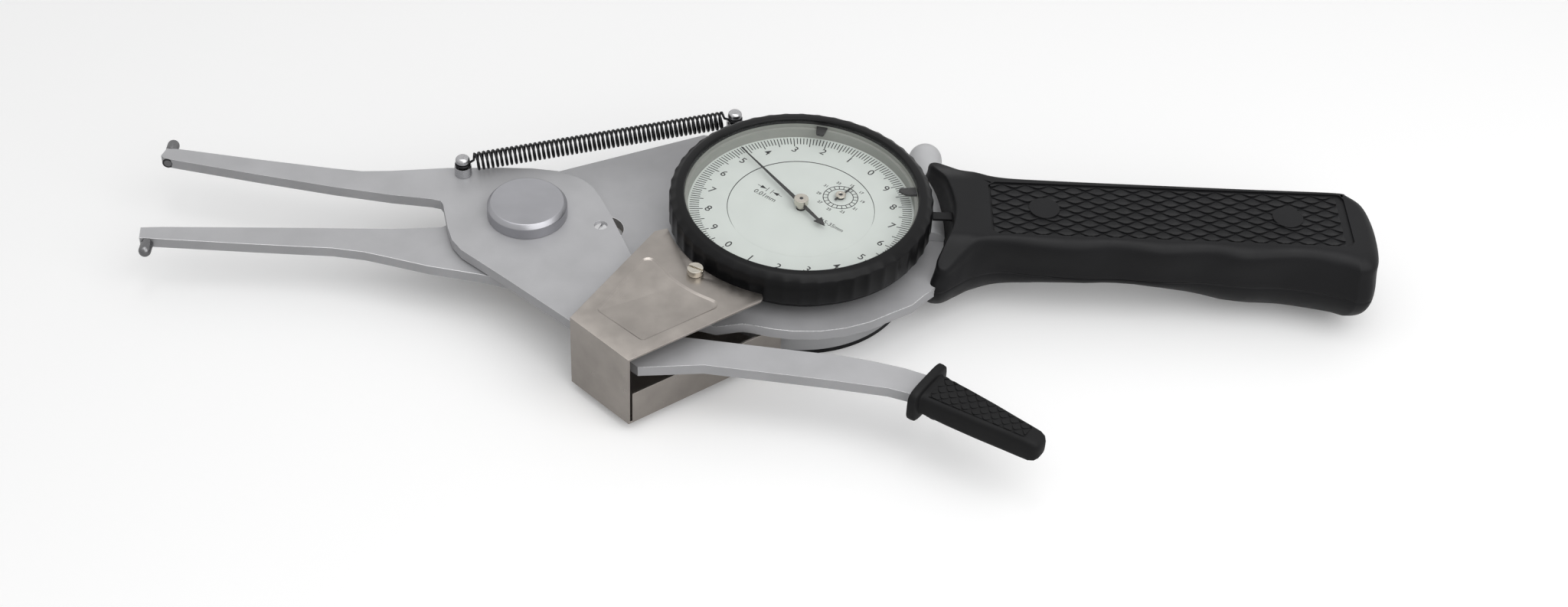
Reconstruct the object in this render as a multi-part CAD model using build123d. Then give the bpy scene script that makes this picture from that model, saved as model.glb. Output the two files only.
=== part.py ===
from build123d import *
import math
import os

# Internal dial caliper gauge, 15 to 35 mm, with a 2 mm turn of the main hand.
# Frame: origin on the resting plane under the dial centre, +X along the handle,
# +Y towards the spring, +Z up through the dial. Millimetres.

# Stack of levels above the resting plane
back_cover_thickness = 1.1
housing_depth = 9.92
plate_thickness = 2.5
jaw_gap = 0.46
dial_height = 6.88
rim_height = 4.79

plate_bottom = back_cover_thickness + housing_depth
plate_top = plate_bottom + plate_thickness
plate_middle = plate_bottom + plate_thickness / 2
jaw_bottom = plate_top + jaw_gap
jaw_top = jaw_bottom + plate_thickness
dial_level = plate_top + dial_height
rim_level = dial_level + rim_height

# Places in plan
pivot_x = -60.1
pivot_y = -0.8
contact_reach = 81.9
open_span = 35.4
fixed_tip_y = -14.5
spring_front = (-75.6, 12.0)
spring_rear = (-15.3, 32.2)
counter_angle = 25.0
main_hand_angle = 125.5
small_hand_angle = 49.0

# Fits
running = 0.04
free_gap = 0.3

# Pivot
axle_radius = 4.0
bush_wall = 1.2
knob_radius = 8.8
knob_top_radius = 8.0
knob_height = 3.6
knob_chamfer_height = 0.97
washer_radius = 9.5

# Contacts
contact_radius = 1.35
contact_shank_radius = 1.0
contact_head_length = 3.8
contact_shank_length = 3.9

# Spring and posts
post_radius = 1.9
post_neck_radius = 1.15
post_head_radius = 1.6
post_neck_height = 1.1
post_head_height = 1.4
front_post_base = 2.4
spring_outer_radius = 2.15
spring_wire = 0.6
spring_hook_reach = 2.9

# Gear train: the sector drives the intermediate pinion from its inner side
sector_module = 0.3
sector_teeth_full = 343
intermediate_pinion_teeth = 16
fine_module = 0.2
intermediate_wheel_teeth = 108
centre_pinion_teeth = 9
counter_module = 0.22
counter_pinion_teeth = 8
counter_wheel_teeth = 80
jaw_travel_angle = 14.1
addendum = 0.8
dedendum = 1.2
tooth_half_at_pitch = 0.20
tooth_half_at_tip = 0.10
tooth_half_at_root = 0.27

# Movement levels, measured down from the underside of the main plate
sector_clearance = 0.3
sector_plate = 1.2
sector_rim_depth = 1.4
sector_rim_width = 1.9
sector_arm_width = 6.0
sector_hub_radius = 6.5
upper_bridge_drop = 3.3
bridge_thickness = 1.2
lower_bridge_rise = 0.2
pinion_length = 1.1
wheel_thickness = 0.8
arbor_radius = 0.5
bearing_radius = 1.1
pillar_radius = 1.2
pillar_neck_radius = 0.75
pillar_inset = 5.7
pillar_angles = (60.0, 155.0, 300.0)
wheel_level = 4.8
centre_pinion_margin = 0.25
counter_wheel_level = 3.2

# Housing
housing_clearance = 0.44
housing_wall = 2.0
boss_radius = 2.4
boss_inset = 4.5
web_width = 2.4
boss_angles = (85.0, 130.0, 265.0, 320.0)
housing_screw_radius = 1.0
housing_screw_head = 1.9
screw_head_height = 0.9
screw_slot_width = 0.45

# Dial
case_inset = 4.4
case_floor = 1.2
case_wall = 1.8
case_top_drop = 1.0
pedestal_radius = 15.2
pedestal_wall = 1.6
dial_plate_radius = 16.0
dial_thickness = 0.6
scale_inner_radius = 16.3
bezel_radius = 29.0
bezel_lip_inset = 0.8
bezel_lip_height = 0.9
bezel_lip_slope = 0.3
bezel_chamfer_height = 1.2
bezel_rim_width = 1.55
bezel_wall = 3.34
bezel_bottom_drop = 3.6
bezel_shoulder_drop = 1.1
bezel_bore_gap = 0.1
flute_count = 48
flute_depth = 0.35
flute_radius = 3.8
crystal_thickness = 0.9
crystal_drop = 0.5
spacer_wall = 0.7
pointer_depth = 3.6
pointer_width = 2.5
pointer_thickness = 0.5
pointer_angles = (80.0, 8.0)
main_hand_gap = 2.36
main_hand_tail = 8.9
main_hand_width = 0.9
main_hand_rise = 1.2
hand_thickness = 0.2
main_hub_radius = 1.6
main_hub_height = 1.6
hub_neck_radius = 0.8
hub_foot_radius = 1.0
hub_foot_gap = 0.3
small_hand_reach = 4.2
small_hub_radius = 1.15
small_hub_height = 0.5
small_hand_rise = 0.4
small_hand_tail = 1.9
small_hand_seat = 0.3

# Barrel behind the dial
barrel_gap = 0.15
barrel_radius = 3.85
barrel_near_y = -1.6
barrel_far_y = 28.5
barrel_slit_end = 27.5

# Handle
handle_half_depth = 10.5
shoulder_half_depth = 8.1
handle_wall = 2.5
handle_front_radius = 32.2
horn_start_y = 9.4
horn_slopes = ((1, 18.0), (-1, 40.0))
horn_end_x = 41.0
handle_screw_depths = (5.9, 10.7)
handle_screw_recess = 1.0
handle_screw_head_height = 1.6
tang_half_width = 6.0
tang_end_x = 113.0
handle_screw_x = (53.5, 107.4)
handle_screw_radius = 1.5
handle_screw_head_radius = 2.8
plug_radius = 3.35
plug_thickness = 1.0
handle_boss_radius = 4.6
nut_across = 5.5
nut_height = 2.4

# Leaf brake on the bezel
brake_drop = 1.3
brake_thickness = 0.65
brake_width = 2.4
brake_length = 8.0
brake_gap = 0.1

# Guard cover
guard_sheet = 0.5
guard_top = dial_level + 0.5
guard_bottom = 2.4
guard_flap_top = plate_bottom - 0.32
guard_corner = (-35.0, -50.8)
guard_left = (-47.8, -38.6)
guard_tip = (-7.7, -30.9)
guard_far = (-31.6, -10.2)
guard_dial_gap = 1.3
guard_slit = 1.0
guard_tip_fillet = 1.6
standoff_angle = -133.9
standoff_gap = 1.12
standoff_radius = 2.2
guard_screw_radius = 1.1
guard_screw_head = 1.75
guard_screw_head_height = 1.5

# Adjusting screw and its window
crown_radius = 36.2
ear_radius = 4.0
adjusting_place = (-43.8, -3.8)
adjusting_radius = 1.2
adjusting_head = 1.5
adjusting_recess = 0.5
window_place = (-43.2, -1.6)
window_radius = 4.3

# Grip on the lever
grip_start = (25.6, -50.5)
grip_angle = -34.0
grip_length = 28.4
grip_root_width = 8.6
grip_tip_width = 5.2
grip_half_depth = 2.9
grip_flange_width = 13.0
grip_flange_half_depth = 4.2
grip_flange_thickness = 1.8

os.makedirs("parts", exist_ok=True)
LOW = (Align.CENTER, Align.CENTER, Align.MIN)


def write(name, shape):
    shape.label = name
    export_step(shape, "parts/" + name + ".step")


def disc(radius, low, high, x=0.0, y=0.0):
    return Pos(x, y, low) * Cylinder(radius, high - low, align=LOW)


def ring(outer, inner, low, high, x=0.0, y=0.0):
    return disc(outer, low, high, x, y) - disc(inner, low - 1, high + 1, x, y)


def slab(points, low, high):
    face = make_face(Polyline(*points, close=True))
    return Pos(0, 0, low) * extrude(face, amount=high - low)


def block(x0, x1, y0, y1, z0, z1):
    corner = (Align.MIN, Align.MIN, Align.MIN)
    return Pos(x0, y0, z0) * Box(x1 - x0, y1 - y0, z1 - z0, align=corner)


def polar(radius, angle, x=0.0, y=0.0):
    turn = math.radians(angle)
    return (x + radius * math.cos(turn), y + radius * math.sin(turn))


def toothed_wheel(teeth, module, first_tooth_angle):
    pitch_radius = teeth * module / 2
    pitch = math.pi * module
    levels = (
        (pitch_radius - dedendum * module, tooth_half_at_root),
        (pitch_radius, tooth_half_at_pitch),
        (pitch_radius + addendum * module, tooth_half_at_tip),
    )
    points = []
    for tooth in range(teeth):
        middle = first_tooth_angle + 360.0 * tooth / teeth
        for side, order in ((-1, levels), (1, levels[::-1])):
            for radius, half in order:
                spread = math.degrees(side * half * pitch / radius)
                points.append(polar(radius, middle + spread))
    return make_face(Polyline(*points, close=True))


def slotted(head_radius, x, y, top, angle=30.0, depth=0.5):
    groove = Box(2 * head_radius + 2, screw_slot_width, depth * 2)
    return Pos(x, y, top) * Rot(0, 0, angle) * groove


# Bore for a contact pin, from its ball end right through the arm
def contact_bore(tip_y, outward, level):
    length = contact_shank_length + contact_head_length + 1
    bore = Rot(90 * outward, 0, 0) * Cylinder(contact_shank_radius, length, align=LOW)
    return Pos(contact_x, tip_y, level) * bore


# Places worked out from the driving sizes
contact_x = pivot_x - contact_reach
moving_tip_y = fixed_tip_y + open_span
sector_radius = sector_teeth_full * sector_module / 2
intermediate_pinion_radius = intermediate_pinion_teeth * sector_module / 2
pivot_to_intermediate = sector_radius - intermediate_pinion_radius
centre_to_intermediate = (intermediate_wheel_teeth + centre_pinion_teeth) * fine_module / 2
centre_to_pivot = math.hypot(pivot_x, pivot_y)
pivot_to_centre_angle = math.degrees(math.atan2(-pivot_y, -pivot_x))
opening_cosine = (
    pivot_to_intermediate**2 + centre_to_pivot**2 - centre_to_intermediate**2
) / (2 * pivot_to_intermediate * centre_to_pivot)
mesh_angle = pivot_to_centre_angle - math.degrees(math.acos(opening_cosine))
intermediate_place = polar(pivot_to_intermediate, mesh_angle, pivot_x, pivot_y)
housing_radius = (
    centre_to_intermediate + (intermediate_wheel_teeth / 2 + addendum) * fine_module
    + housing_clearance + housing_wall
)
case_radius = bezel_radius - case_inset
screw_circle = case_radius - case_wall - housing_screw_head - free_gap
boss_circle = min(housing_radius - boss_inset, screw_circle)
pillar_circle = housing_radius - pillar_inset
barrel_x = max(housing_radius, case_radius + barrel_gap) + barrel_gap + barrel_radius
bezel_lip_radius = bezel_radius - bezel_lip_inset
bezel_rim_outer = bezel_radius - bezel_rim_width
bezel_rim_inner = bezel_radius - bezel_wall
main_hand_reach = bezel_rim_inner - main_hand_gap
standoff_place = polar(bezel_radius + standoff_radius + standoff_gap, standoff_angle)
counter_distance = (counter_pinion_teeth + counter_wheel_teeth) * counter_module / 2
counter_place = polar(counter_distance, counter_angle)

sector_top = plate_bottom - sector_clearance
sector_underside = sector_top - sector_plate
rim_bottom = sector_underside - sector_rim_depth
upper_bridge_top = plate_bottom - upper_bridge_drop
upper_bridge_bottom = upper_bridge_top - bridge_thickness
lower_bridge_bottom = back_cover_thickness + lower_bridge_rise
lower_bridge_top = lower_bridge_bottom + bridge_thickness
bezel_bottom = dial_level - bezel_bottom_drop
case_top = dial_level - case_top_drop
handle_top = plate_middle + handle_half_depth
post_head_top = jaw_top + front_post_base + post_neck_height + post_head_height
spring_level = jaw_top + front_post_base + post_neck_height / 2


# Fixed jaw: the long arm, the body under the dial and the tang in one plate
def main_plate_outline():
    hub_reach = 13.6
    arm = [
        (contact_x + 2.4, -6.45),
        (-106.6, -4.9),
        (-90.0, -4.3),
        (-79.0, -3.1),
        (pivot_x - hub_reach, pivot_y + 1.5),
        polar(hub_reach, 130, pivot_x, pivot_y),
        (-58.5, 16.1),
        (-22.4, 33.1),
    ]
    crown = [polar(crown_radius, angle) for angle in range(117, 38, -6)]
    tang_root = [(30.0, 17.0), (38.0, tang_half_width), (tang_end_x, tang_half_width)]
    tang_back = [(tang_end_x, -tang_half_width), (38.0, -tang_half_width), (29.2, -14.0)]
    corner = [(28.9, -15.3), (30.0, -16.6)]
    belly = [polar(33.4, angle) for angle in (-36, -43)]
    belly += [polar(32.4, angle) for angle in (-52, -62, -72, -82, -92, -100, -106)]
    notch = [(-11.8, -30.6), (-17.5, -31.9), (-45.0, -24.6), (-68.4, -18.2)]
    lower_arm = [
        (-80.1, -16.1),
        (-88.7, -13.8),
        (-94.5, -12.3),
        (-101.5, -11.4),
        (-118.1, -11.1),
        (contact_x + 2.4, -10.5),
    ]
    tip = [(contact_x - 1.7, -10.4), (contact_x - 2.1, -6.9)]
    return arm + crown + tang_root + tang_back + corner + belly + notch + lower_arm + tip


main_plate = slab(main_plate_outline(), plate_bottom, plate_top)
main_plate += disc(ear_radius, plate_bottom, plate_top, *spring_rear)
main_plate -= disc(axle_radius + bush_wall, plate_bottom - 1, plate_top + 1, pivot_x, pivot_y)
main_plate -= disc(window_radius, plate_bottom - 1, plate_top + 1, *window_place)
main_plate -= disc(2.2, plate_bottom - 1, plate_top + 1)
main_plate -= disc(2.0, plate_bottom - 1, plate_top + 1, *counter_place)
for x in handle_screw_x:
    main_plate -= disc(handle_screw_radius + 0.1, plate_bottom - 1, plate_top + 1, x)
for angle in boss_angles:
    place = polar(boss_circle, angle)
    main_plate -= disc(housing_screw_radius, plate_bottom - 1, plate_top + 1, *place)
main_plate -= disc(guard_screw_radius, plate_bottom - 1, plate_top + 1, *standoff_place)
main_plate -= disc(post_neck_radius, plate_bottom - 1, plate_top + 1, *spring_rear)
main_plate -= contact_bore(fixed_tip_y, -1, plate_middle)
write("main_plate", main_plate)


# Contact pins, each with a ball end on its outer side
def contact_pin(tip_y, outward, level):
    straight = contact_head_length - contact_radius
    pin = Cylinder(contact_shank_radius, contact_shank_length, align=LOW)
    pin += Pos(0, 0, contact_shank_length) * Cylinder(contact_radius, straight, align=LOW)
    pin += Pos(0, 0, contact_shank_length + straight) * Sphere(contact_radius)
    turned = Rot(-90 * outward, 0, 0) * pin
    length = contact_shank_length + contact_head_length
    return Pos(contact_x, tip_y - outward * length, level) * turned


write("fixed_contact", contact_pin(fixed_tip_y, -1, plate_middle))
jaw_middle = jaw_bottom + plate_thickness / 2
write("moving_contact", contact_pin(moving_tip_y, 1, jaw_middle))


# Moving jaw: the upper arm, the rocking body and the squeeze lever in one plate
def moving_plate_outline():
    arm_far = [
        (contact_x - 0.8, 17.0),
        (contact_x + 2.2, 16.9),
        (-122.3, 14.4),
        (-104.8, 12.2),
        (-98.3, 11.6),
        (-91.9, 12.1),
        (-79.3, 13.9),
        (-67.8, 14.7),
        (-60.5, 14.9),
        (-54.7, 14.3),
        (-50.7, 12.8),
        (-48.4, 11.3),
        (-46.5, 9.2),
        (-45.0, 6.6),
        (-43.3, 3.0),
        (-41.5, -1.0),
        (-36.7, -13.1),
    ]
    inner = [(-34.6, -22.0), (-34.0, -31.0), (-33.0, -35.4), (-29.5, -37.9), (-23.0, -38.7)]
    lever_far = [(-3.8, -41.0), (8.9, -42.4), (15.3, -43.7), (22.0, -45.5), (26.5, -47.3)]
    tongue = [polar(15.5, grip_angle, 26.5, -47.3), polar(15.5, grip_angle, 24.3, -52.4)]
    lever_near = [
        (24.3, -53.4),
        (18.3, -51.5),
        (5.7, -49.7),
        (-10.1, -47.8),
        (-19.6, -46.7),
        (-33.2, -48.1),
        (-34.6, -46.9),
    ]
    near_edge = [(-48.9, -34.2), (-62.9, -22.3), (-73.3, -13.7), (-75.6, -10.5), (-77.0, -6.4)]
    fork = [(-78.9, 1.2), (-79.6, 2.4), (-81.6, 2.9)]
    arm_near = [(-90.8, 3.8), (-103.8, 5.8), (-121.3, 9.1), (contact_x + 3.0, 12.7)]
    tip = [(contact_x + 1.6, 13.0), (contact_x - 0.6, 13.5), (contact_x - 1.6, 14.4)]
    return arm_far + inner + lever_far + tongue + lever_near + near_edge + fork + arm_near + tip


moving_plate = slab(moving_plate_outline(), jaw_bottom, jaw_top)
moving_plate -= disc(axle_radius, jaw_bottom - 1, jaw_top + 1, pivot_x, pivot_y)
moving_plate -= disc(adjusting_radius, jaw_bottom - 1, jaw_top + 1, *adjusting_place)
moving_plate -= disc(adjusting_head, jaw_top - 1.4, jaw_top + 1, *adjusting_place)
moving_plate -= disc(post_neck_radius, jaw_bottom - 1, jaw_top + 1, *spring_front)
moving_plate -= contact_bore(moving_tip_y, 1, jaw_middle)
write("moving_plate", moving_plate)

# Pivot: flanged axle turning in a brass bush, with the knob on its head
sector_hub_bottom = sector_underside - 1.0
axle = disc(axle_radius, plate_bottom, jaw_top + 1.6, pivot_x, pivot_y)
axle += disc(axle_radius - 1.0, sector_hub_bottom, plate_bottom, pivot_x, pivot_y)
axle -= disc(1.5, sector_hub_bottom - 1, sector_hub_bottom + 5, pivot_x, pivot_y)
write("pivot_axle", axle)
bush = ring(axle_radius + bush_wall, axle_radius + running, plate_bottom, plate_top, pivot_x, pivot_y)
write("pivot_bush", bush)
washer = ring(washer_radius, axle_radius + running, plate_top, jaw_bottom - 0.02, pivot_x, pivot_y)
write("pivot_washer", washer)
knob_profile = Polyline(
    (0, jaw_top),
    (knob_radius, jaw_top),
    (knob_radius, jaw_top + knob_height - knob_chamfer_height),
    (knob_top_radius, jaw_top + knob_height),
    (0, jaw_top + knob_height),
    close=True,
)
knob = Pos(pivot_x, pivot_y, 0) * revolve(Plane.XZ * make_face(knob_profile), Axis.Z)
knob -= disc(axle_radius, jaw_top - 1, jaw_top + 1.6, pivot_x, pivot_y)
write("pivot_knob", knob)
sector_screw = disc(3.2, sector_hub_bottom - 1.2, sector_hub_bottom, pivot_x, pivot_y)
sector_screw += disc(1.5, sector_hub_bottom, sector_hub_bottom + 4.5, pivot_x, pivot_y)
sector_screw -= slotted(3.2, pivot_x, pivot_y, sector_hub_bottom - 1.2)
write("sector_screw", sector_screw)


# Spring posts, each a turned stud with a neck for the hook and a domed head
def spring_post(place, foot, seat):
    x, y = place
    neck_low = spring_level - post_neck_height / 2
    neck_high = spring_level + post_neck_height / 2
    post = disc(post_neck_radius, foot, seat, x, y)
    post += disc(post_radius, seat, neck_low, x, y)
    post += disc(post_neck_radius, neck_low, neck_high, x, y)
    head = disc(post_head_radius, neck_high, post_head_top, x, y)
    return post + fillet(head.edges().filter_by(GeomType.CIRCLE).sort_by(Axis.Z)[-1], 0.9)


write("front_spring_post", spring_post(spring_front, jaw_bottom, jaw_top))
write("rear_spring_post", spring_post(spring_rear, plate_bottom, plate_top))


# Extension spring: its outer envelope as a tube, closed by a hook at each post
def return_spring():
    dx = spring_rear[0] - spring_front[0]
    dy = spring_rear[1] - spring_front[1]
    span = math.hypot(dx, dy)
    heading = math.degrees(math.atan2(dy, dx))
    body_length = span - 2 * spring_hook_reach
    tube = Cylinder(spring_outer_radius, body_length, align=LOW)
    tube -= Cylinder(spring_outer_radius - spring_wire, body_length, align=LOW)
    coil = Pos(spring_hook_reach, 0, 0) * Rot(0, 90, 0) * tube
    loop_radius = post_neck_radius + spring_wire / 2 + 0.05
    for end, side in ((0.0, 1), (span, -1)):
        coil += Pos(end, 0, 0) * Torus(loop_radius, spring_wire / 2)
        arm_start = min(end + side * loop_radius, end + side * (spring_hook_reach + 0.4))
        arm_length = spring_hook_reach + 0.4 - loop_radius
        arm = Pos(arm_start, 0, 0) * Rot(0, 90, 0)
        rod = Cylinder(spring_wire / 2, arm_length, align=LOW)
        coil += arm * rod
        plate = Cylinder(spring_outer_radius, spring_wire, align=LOW)
        plate_x = spring_hook_reach if side > 0 else span - spring_hook_reach - spring_wire
        coil += Pos(plate_x, 0, 0) * Rot(0, 90, 0) * plate
    return Pos(spring_front[0], spring_front[1], spring_level) * Rot(0, 0, heading) * coil


write("return_spring", return_spring())

# Adjusting screw in the moving jaw, passing through the window in the main plate
adjusting_top = jaw_top - adjusting_recess
adjusting_screw = disc(adjusting_head, jaw_top - 1.4, adjusting_top, *adjusting_place)
adjusting_screw += disc(adjusting_radius, sector_underside, jaw_top - 1.4, *adjusting_place)
adjusting_screw -= slotted(adjusting_head, *adjusting_place, adjusting_top, 70.0, 0.4)
write("adjusting_screw", adjusting_screw)


# Toothed sector under the main plate, keyed to the axle and held by the adjusting screw
def sector():
    tooth_step = 360.0 / sector_teeth_full
    last = mesh_angle + 1.5 * tooth_step
    first = mesh_angle - jaw_travel_angle - 1.5 * tooth_step
    count = round((last - first) / tooth_step)
    root = sector_radius + dedendum * sector_module
    tip = sector_radius - addendum * sector_module
    pitch = math.pi * sector_module
    outer = root + sector_rim_width
    levels = ((root, tooth_half_at_root), (sector_radius, tooth_half_at_pitch), (tip, tooth_half_at_tip))
    inside = []
    for index in range(count + 1):
        middle = mesh_angle + (1.5 - index) * tooth_step
        for side, order in ((1, levels), (-1, levels[::-1])):
            for radius, half in order:
                spread = math.degrees(side * half * pitch / radius)
                inside.append(polar(radius, middle + spread, pivot_x, pivot_y))
    low_angle = first - tooth_step
    high_angle = last + tooth_step
    steps = 12
    outside = []
    for index in range(steps + 1):
        angle = low_angle + (high_angle - low_angle) * index / steps
        outside.append(polar(outer, angle, pivot_x, pivot_y))
    rim = slab(inside + outside, rim_bottom, sector_top)
    arm_angle = (low_angle + high_angle) / 2
    arm = Box(outer - 0.6, sector_arm_width, sector_plate, align=(Align.MIN, Align.CENTER, Align.MIN))
    arm = Pos(pivot_x, pivot_y, sector_underside) * Rot(0, 0, arm_angle) * arm
    hub = disc(sector_hub_radius, sector_underside, sector_top, pivot_x, pivot_y)
    eye = disc(adjusting_radius + 2.2, sector_underside, sector_top, *adjusting_place)
    whole = rim + arm + hub + eye
    whole -= disc(axle_radius - 1.0, sector_hub_bottom - 1, sector_top + 1, pivot_x, pivot_y)
    whole -= disc(adjusting_radius, sector_underside - 1, sector_top + 1, *adjusting_place)
    return whole


write("gear_sector", sector())

# Intermediate arbor: small pinion driven by the sector, large wheel under the bridge
ix, iy = intermediate_place
pinion_top = sector_underside - 0.2
pinion_bottom = pinion_top - pinion_length
pinion_face = toothed_wheel(intermediate_pinion_teeth, sector_module, mesh_angle)
arbor = Pos(ix, iy, pinion_bottom) * extrude(pinion_face, amount=pinion_length)
arbor += disc(arbor_radius, lower_bridge_bottom, pinion_bottom, ix, iy)
write("intermediate_pinion", arbor)
centre_direction = math.degrees(math.atan2(-iy, -ix))
wheel_face = toothed_wheel(intermediate_wheel_teeth, fine_module, centre_direction)
wheel = Pos(ix, iy, wheel_level) * extrude(wheel_face, amount=wheel_thickness)
wheel += disc(1.6, wheel_level - 0.5, wheel_level + wheel_thickness + 0.4, ix, iy)
wheel -= disc(arbor_radius, wheel_level - 1, wheel_level + 3, ix, iy)
for step in range(4):
    hole = polar(6.4, centre_direction + 45 + 90 * step, ix, iy)
    wheel -= disc(2.4, wheel_level - 1, wheel_level + 2, *hole)
write("intermediate_wheel", wheel)

# Centre arbor with the hand's pinion and the counter pinion
centre_face = toothed_wheel(
    centre_pinion_teeth, fine_module, centre_direction + 180 + 180 / centre_pinion_teeth
)
centre_low = wheel_level - centre_pinion_margin
centre_length = wheel_thickness + 2 * centre_pinion_margin
centre_arbor = Pos(0, 0, centre_low) * extrude(centre_face, amount=centre_length)
counter_face = toothed_wheel(counter_pinion_teeth, counter_module, counter_angle)
counter_low = counter_wheel_level - centre_pinion_margin
counter_length = wheel_thickness + 2 * centre_pinion_margin
centre_arbor += Pos(0, 0, counter_low) * extrude(counter_face, amount=counter_length)
main_hand_level = dial_level + main_hand_rise
centre_arbor += disc(arbor_radius, lower_bridge_bottom, main_hand_level + 0.6)
write("centre_arbor", centre_arbor)
hub_top = main_hand_level + main_hub_height
hub = disc(main_hub_radius, main_hand_level + hand_thickness, hub_top)
hub += disc(hub_neck_radius, main_hand_level, hub_top)
hub += disc(hub_foot_radius, dial_level + hub_foot_gap, main_hand_level)
hub -= disc(arbor_radius, dial_level, main_hand_level + 0.6)
write("main_hand_hub", hub)


# Main hand: a fine taper towards the tip and a short arrow tail
def main_hand():
    half = main_hand_width / 2
    arrow = 1.1
    tail = [
        (-main_hand_tail + 2.6, -half * 0.7),
        (-main_hand_tail + 2.6, -arrow),
        (-main_hand_tail, 0),
        (-main_hand_tail + 2.6, arrow),
        (-main_hand_tail + 2.6, half * 0.7),
    ]
    outline = [(0, -half)] + [(main_hand_reach, -0.08), (main_hand_reach, 0.08), (0, half)]
    blade = slab(outline + tail[::-1], 0, hand_thickness)
    blade += disc(1.3, 0, hand_thickness)
    blade -= disc(hub_neck_radius, -1, 1)
    return Pos(0, 0, main_hand_level) * Rot(0, 0, main_hand_angle) * blade


write("main_hand", main_hand())

# Counter arbor, wheel and small hand
cx, cy = counter_place
small_hand_level = dial_level + small_hand_rise
counter_arbor_top = small_hand_level + small_hand_seat
write("counter_arbor", disc(arbor_radius, lower_bridge_bottom, counter_arbor_top, cx, cy))
counter_wheel_face = toothed_wheel(
    counter_wheel_teeth, counter_module, counter_angle + 180 + 180 / counter_wheel_teeth
)
counter_wheel = Pos(cx, cy, counter_wheel_level) * extrude(counter_wheel_face, amount=wheel_thickness)
counter_wheel += disc(1.4, counter_wheel_level, counter_wheel_level + 1.6, cx, cy)
counter_wheel -= disc(arbor_radius, counter_wheel_level - 1, counter_wheel_level + 3, cx, cy)
for step in range(4):
    hole = polar(5.0, counter_angle + 45 + 90 * step, cx, cy)
    counter_wheel -= disc(2.0, counter_wheel_level - 1, counter_wheel_level + 1.2, *hole)
write("counter_wheel", counter_wheel)
small_outline = [
    (-small_hand_tail, -0.2),
    (0, -0.3),
    (small_hand_reach, -0.06),
    (small_hand_reach, 0.06),
    (0, 0.3),
    (-small_hand_tail, 0.2),
]
small_blade = slab(small_outline, 0, hand_thickness)
small_blade += disc(small_hub_radius, hand_thickness, small_hub_height)
small_blade -= disc(arbor_radius, -1, small_hand_seat)
small_hand = Pos(cx, cy, small_hand_level) * Rot(0, 0, small_hand_angle) * small_blade
write("small_hand", small_hand)


# Hairspring on the counter arbor, pinned to a stud on the upper bridge
def hairspring():
    turns = 5
    start_radius = 1.7
    growth = 0.42
    width = 0.16
    points_per_turn = 24
    inner = []
    outer = []
    for index in range(turns * points_per_turn + 1):
        angle = 360.0 * index / points_per_turn
        radius = start_radius + growth * angle / 360.0
        inner.append(polar(radius - width / 2, angle))
        outer.append(polar(radius + width / 2, angle))
    spiral = slab(inner + outer[::-1], 0, 0.5)
    return spiral, start_radius + growth * turns


spiral, spiral_radius = hairspring()
hairspring_level = counter_wheel_level + 1.75
spring_turn = 60.0
write("hairspring", Pos(cx, cy, hairspring_level) * Rot(0, 0, spring_turn) * spiral)
stud_place = polar(spiral_radius + 0.08 + 0.4, spring_turn, cx, cy)
write("hairspring_stud", disc(0.4, hairspring_level - 0.2, upper_bridge_bottom, *stud_place))


# Bridges that carry the arbors, with pressed bearings
def bridge(low, holes):
    plate = disc(housing_radius - housing_wall - 0.4, low, low + bridge_thickness)
    for angle in boss_angles:
        notch = polar(boss_circle, angle)
        plate -= disc(boss_radius + 0.3, low - 1, low + bridge_thickness + 1, *notch)
    for x, y, radius in holes:
        plate -= disc(radius, low - 1, low + bridge_thickness + 1, x, y)
    return plate


pillar_places = [polar(pillar_circle, angle) for angle in pillar_angles]
arbor_places = [(0.0, 0.0), intermediate_place, counter_place]
bearing_holes = [(x, y, bearing_radius) for x, y in arbor_places]
pillar_holes = [(x, y, pillar_neck_radius) for x, y in pillar_places]
write("upper_bridge", bridge(upper_bridge_bottom, bearing_holes + pillar_holes))
write("lower_bridge", bridge(lower_bridge_bottom, bearing_holes + pillar_holes))
bearings = []
for low in (upper_bridge_bottom, lower_bridge_bottom):
    for x, y in arbor_places:
        bearings.append(ring(bearing_radius, arbor_radius + running, low, low + bridge_thickness, x, y))
write("arbor_bearings", Compound(bearings))
pillars = []
for x, y in pillar_places:
    pillar = disc(pillar_radius, upper_bridge_top, plate_bottom, x, y)
    pillar += disc(pillar_neck_radius, upper_bridge_bottom, upper_bridge_top, x, y)
    pillar += disc(pillar_radius, lower_bridge_top, upper_bridge_bottom, x, y)
    pillar += disc(pillar_neck_radius, lower_bridge_bottom, lower_bridge_top, x, y)
    pillars.append(pillar)
write("bridge_pillars", Compound(pillars))

# Drum housing under the main plate, open towards the sector
housing = ring(housing_radius, housing_radius - housing_wall, back_cover_thickness, plate_bottom)
for angle in boss_angles:
    x, y = polar(boss_circle, angle)
    web_end = housing_radius - housing_wall / 2
    web = block(boss_circle, web_end, -web_width / 2, web_width / 2, back_cover_thickness, plate_bottom)
    housing += disc(boss_radius, back_cover_thickness, plate_bottom, x, y) + Rot(0, 0, angle) * web
for angle in boss_angles:
    x, y = polar(boss_circle, angle)
    housing -= disc(housing_screw_radius, back_cover_thickness - 1, plate_bottom + 1, x, y)
sector_slot = block(-housing_radius - 2, -14.0, -15.5, 7.6, rim_bottom - 0.4, plate_bottom + 1)
housing -= sector_slot
write("gear_housing", housing)
back_cover = disc(housing_radius, 0, back_cover_thickness)
for angle in boss_angles:
    x, y = polar(boss_circle, angle)
    back_cover -= disc(housing_screw_radius, -1, 2, x, y)
    back_cover -= disc(housing_screw_head, -1, screw_head_height - 0.2, x, y)
back_cover -= ring(19.0, 18.2, -1, 0.25) - block(-30, 30, 0, 0.01, -2, 2)
write("back_cover", back_cover)
cover_screws = []
case_screws = []
case_floor_top = plate_top + case_floor
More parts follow.
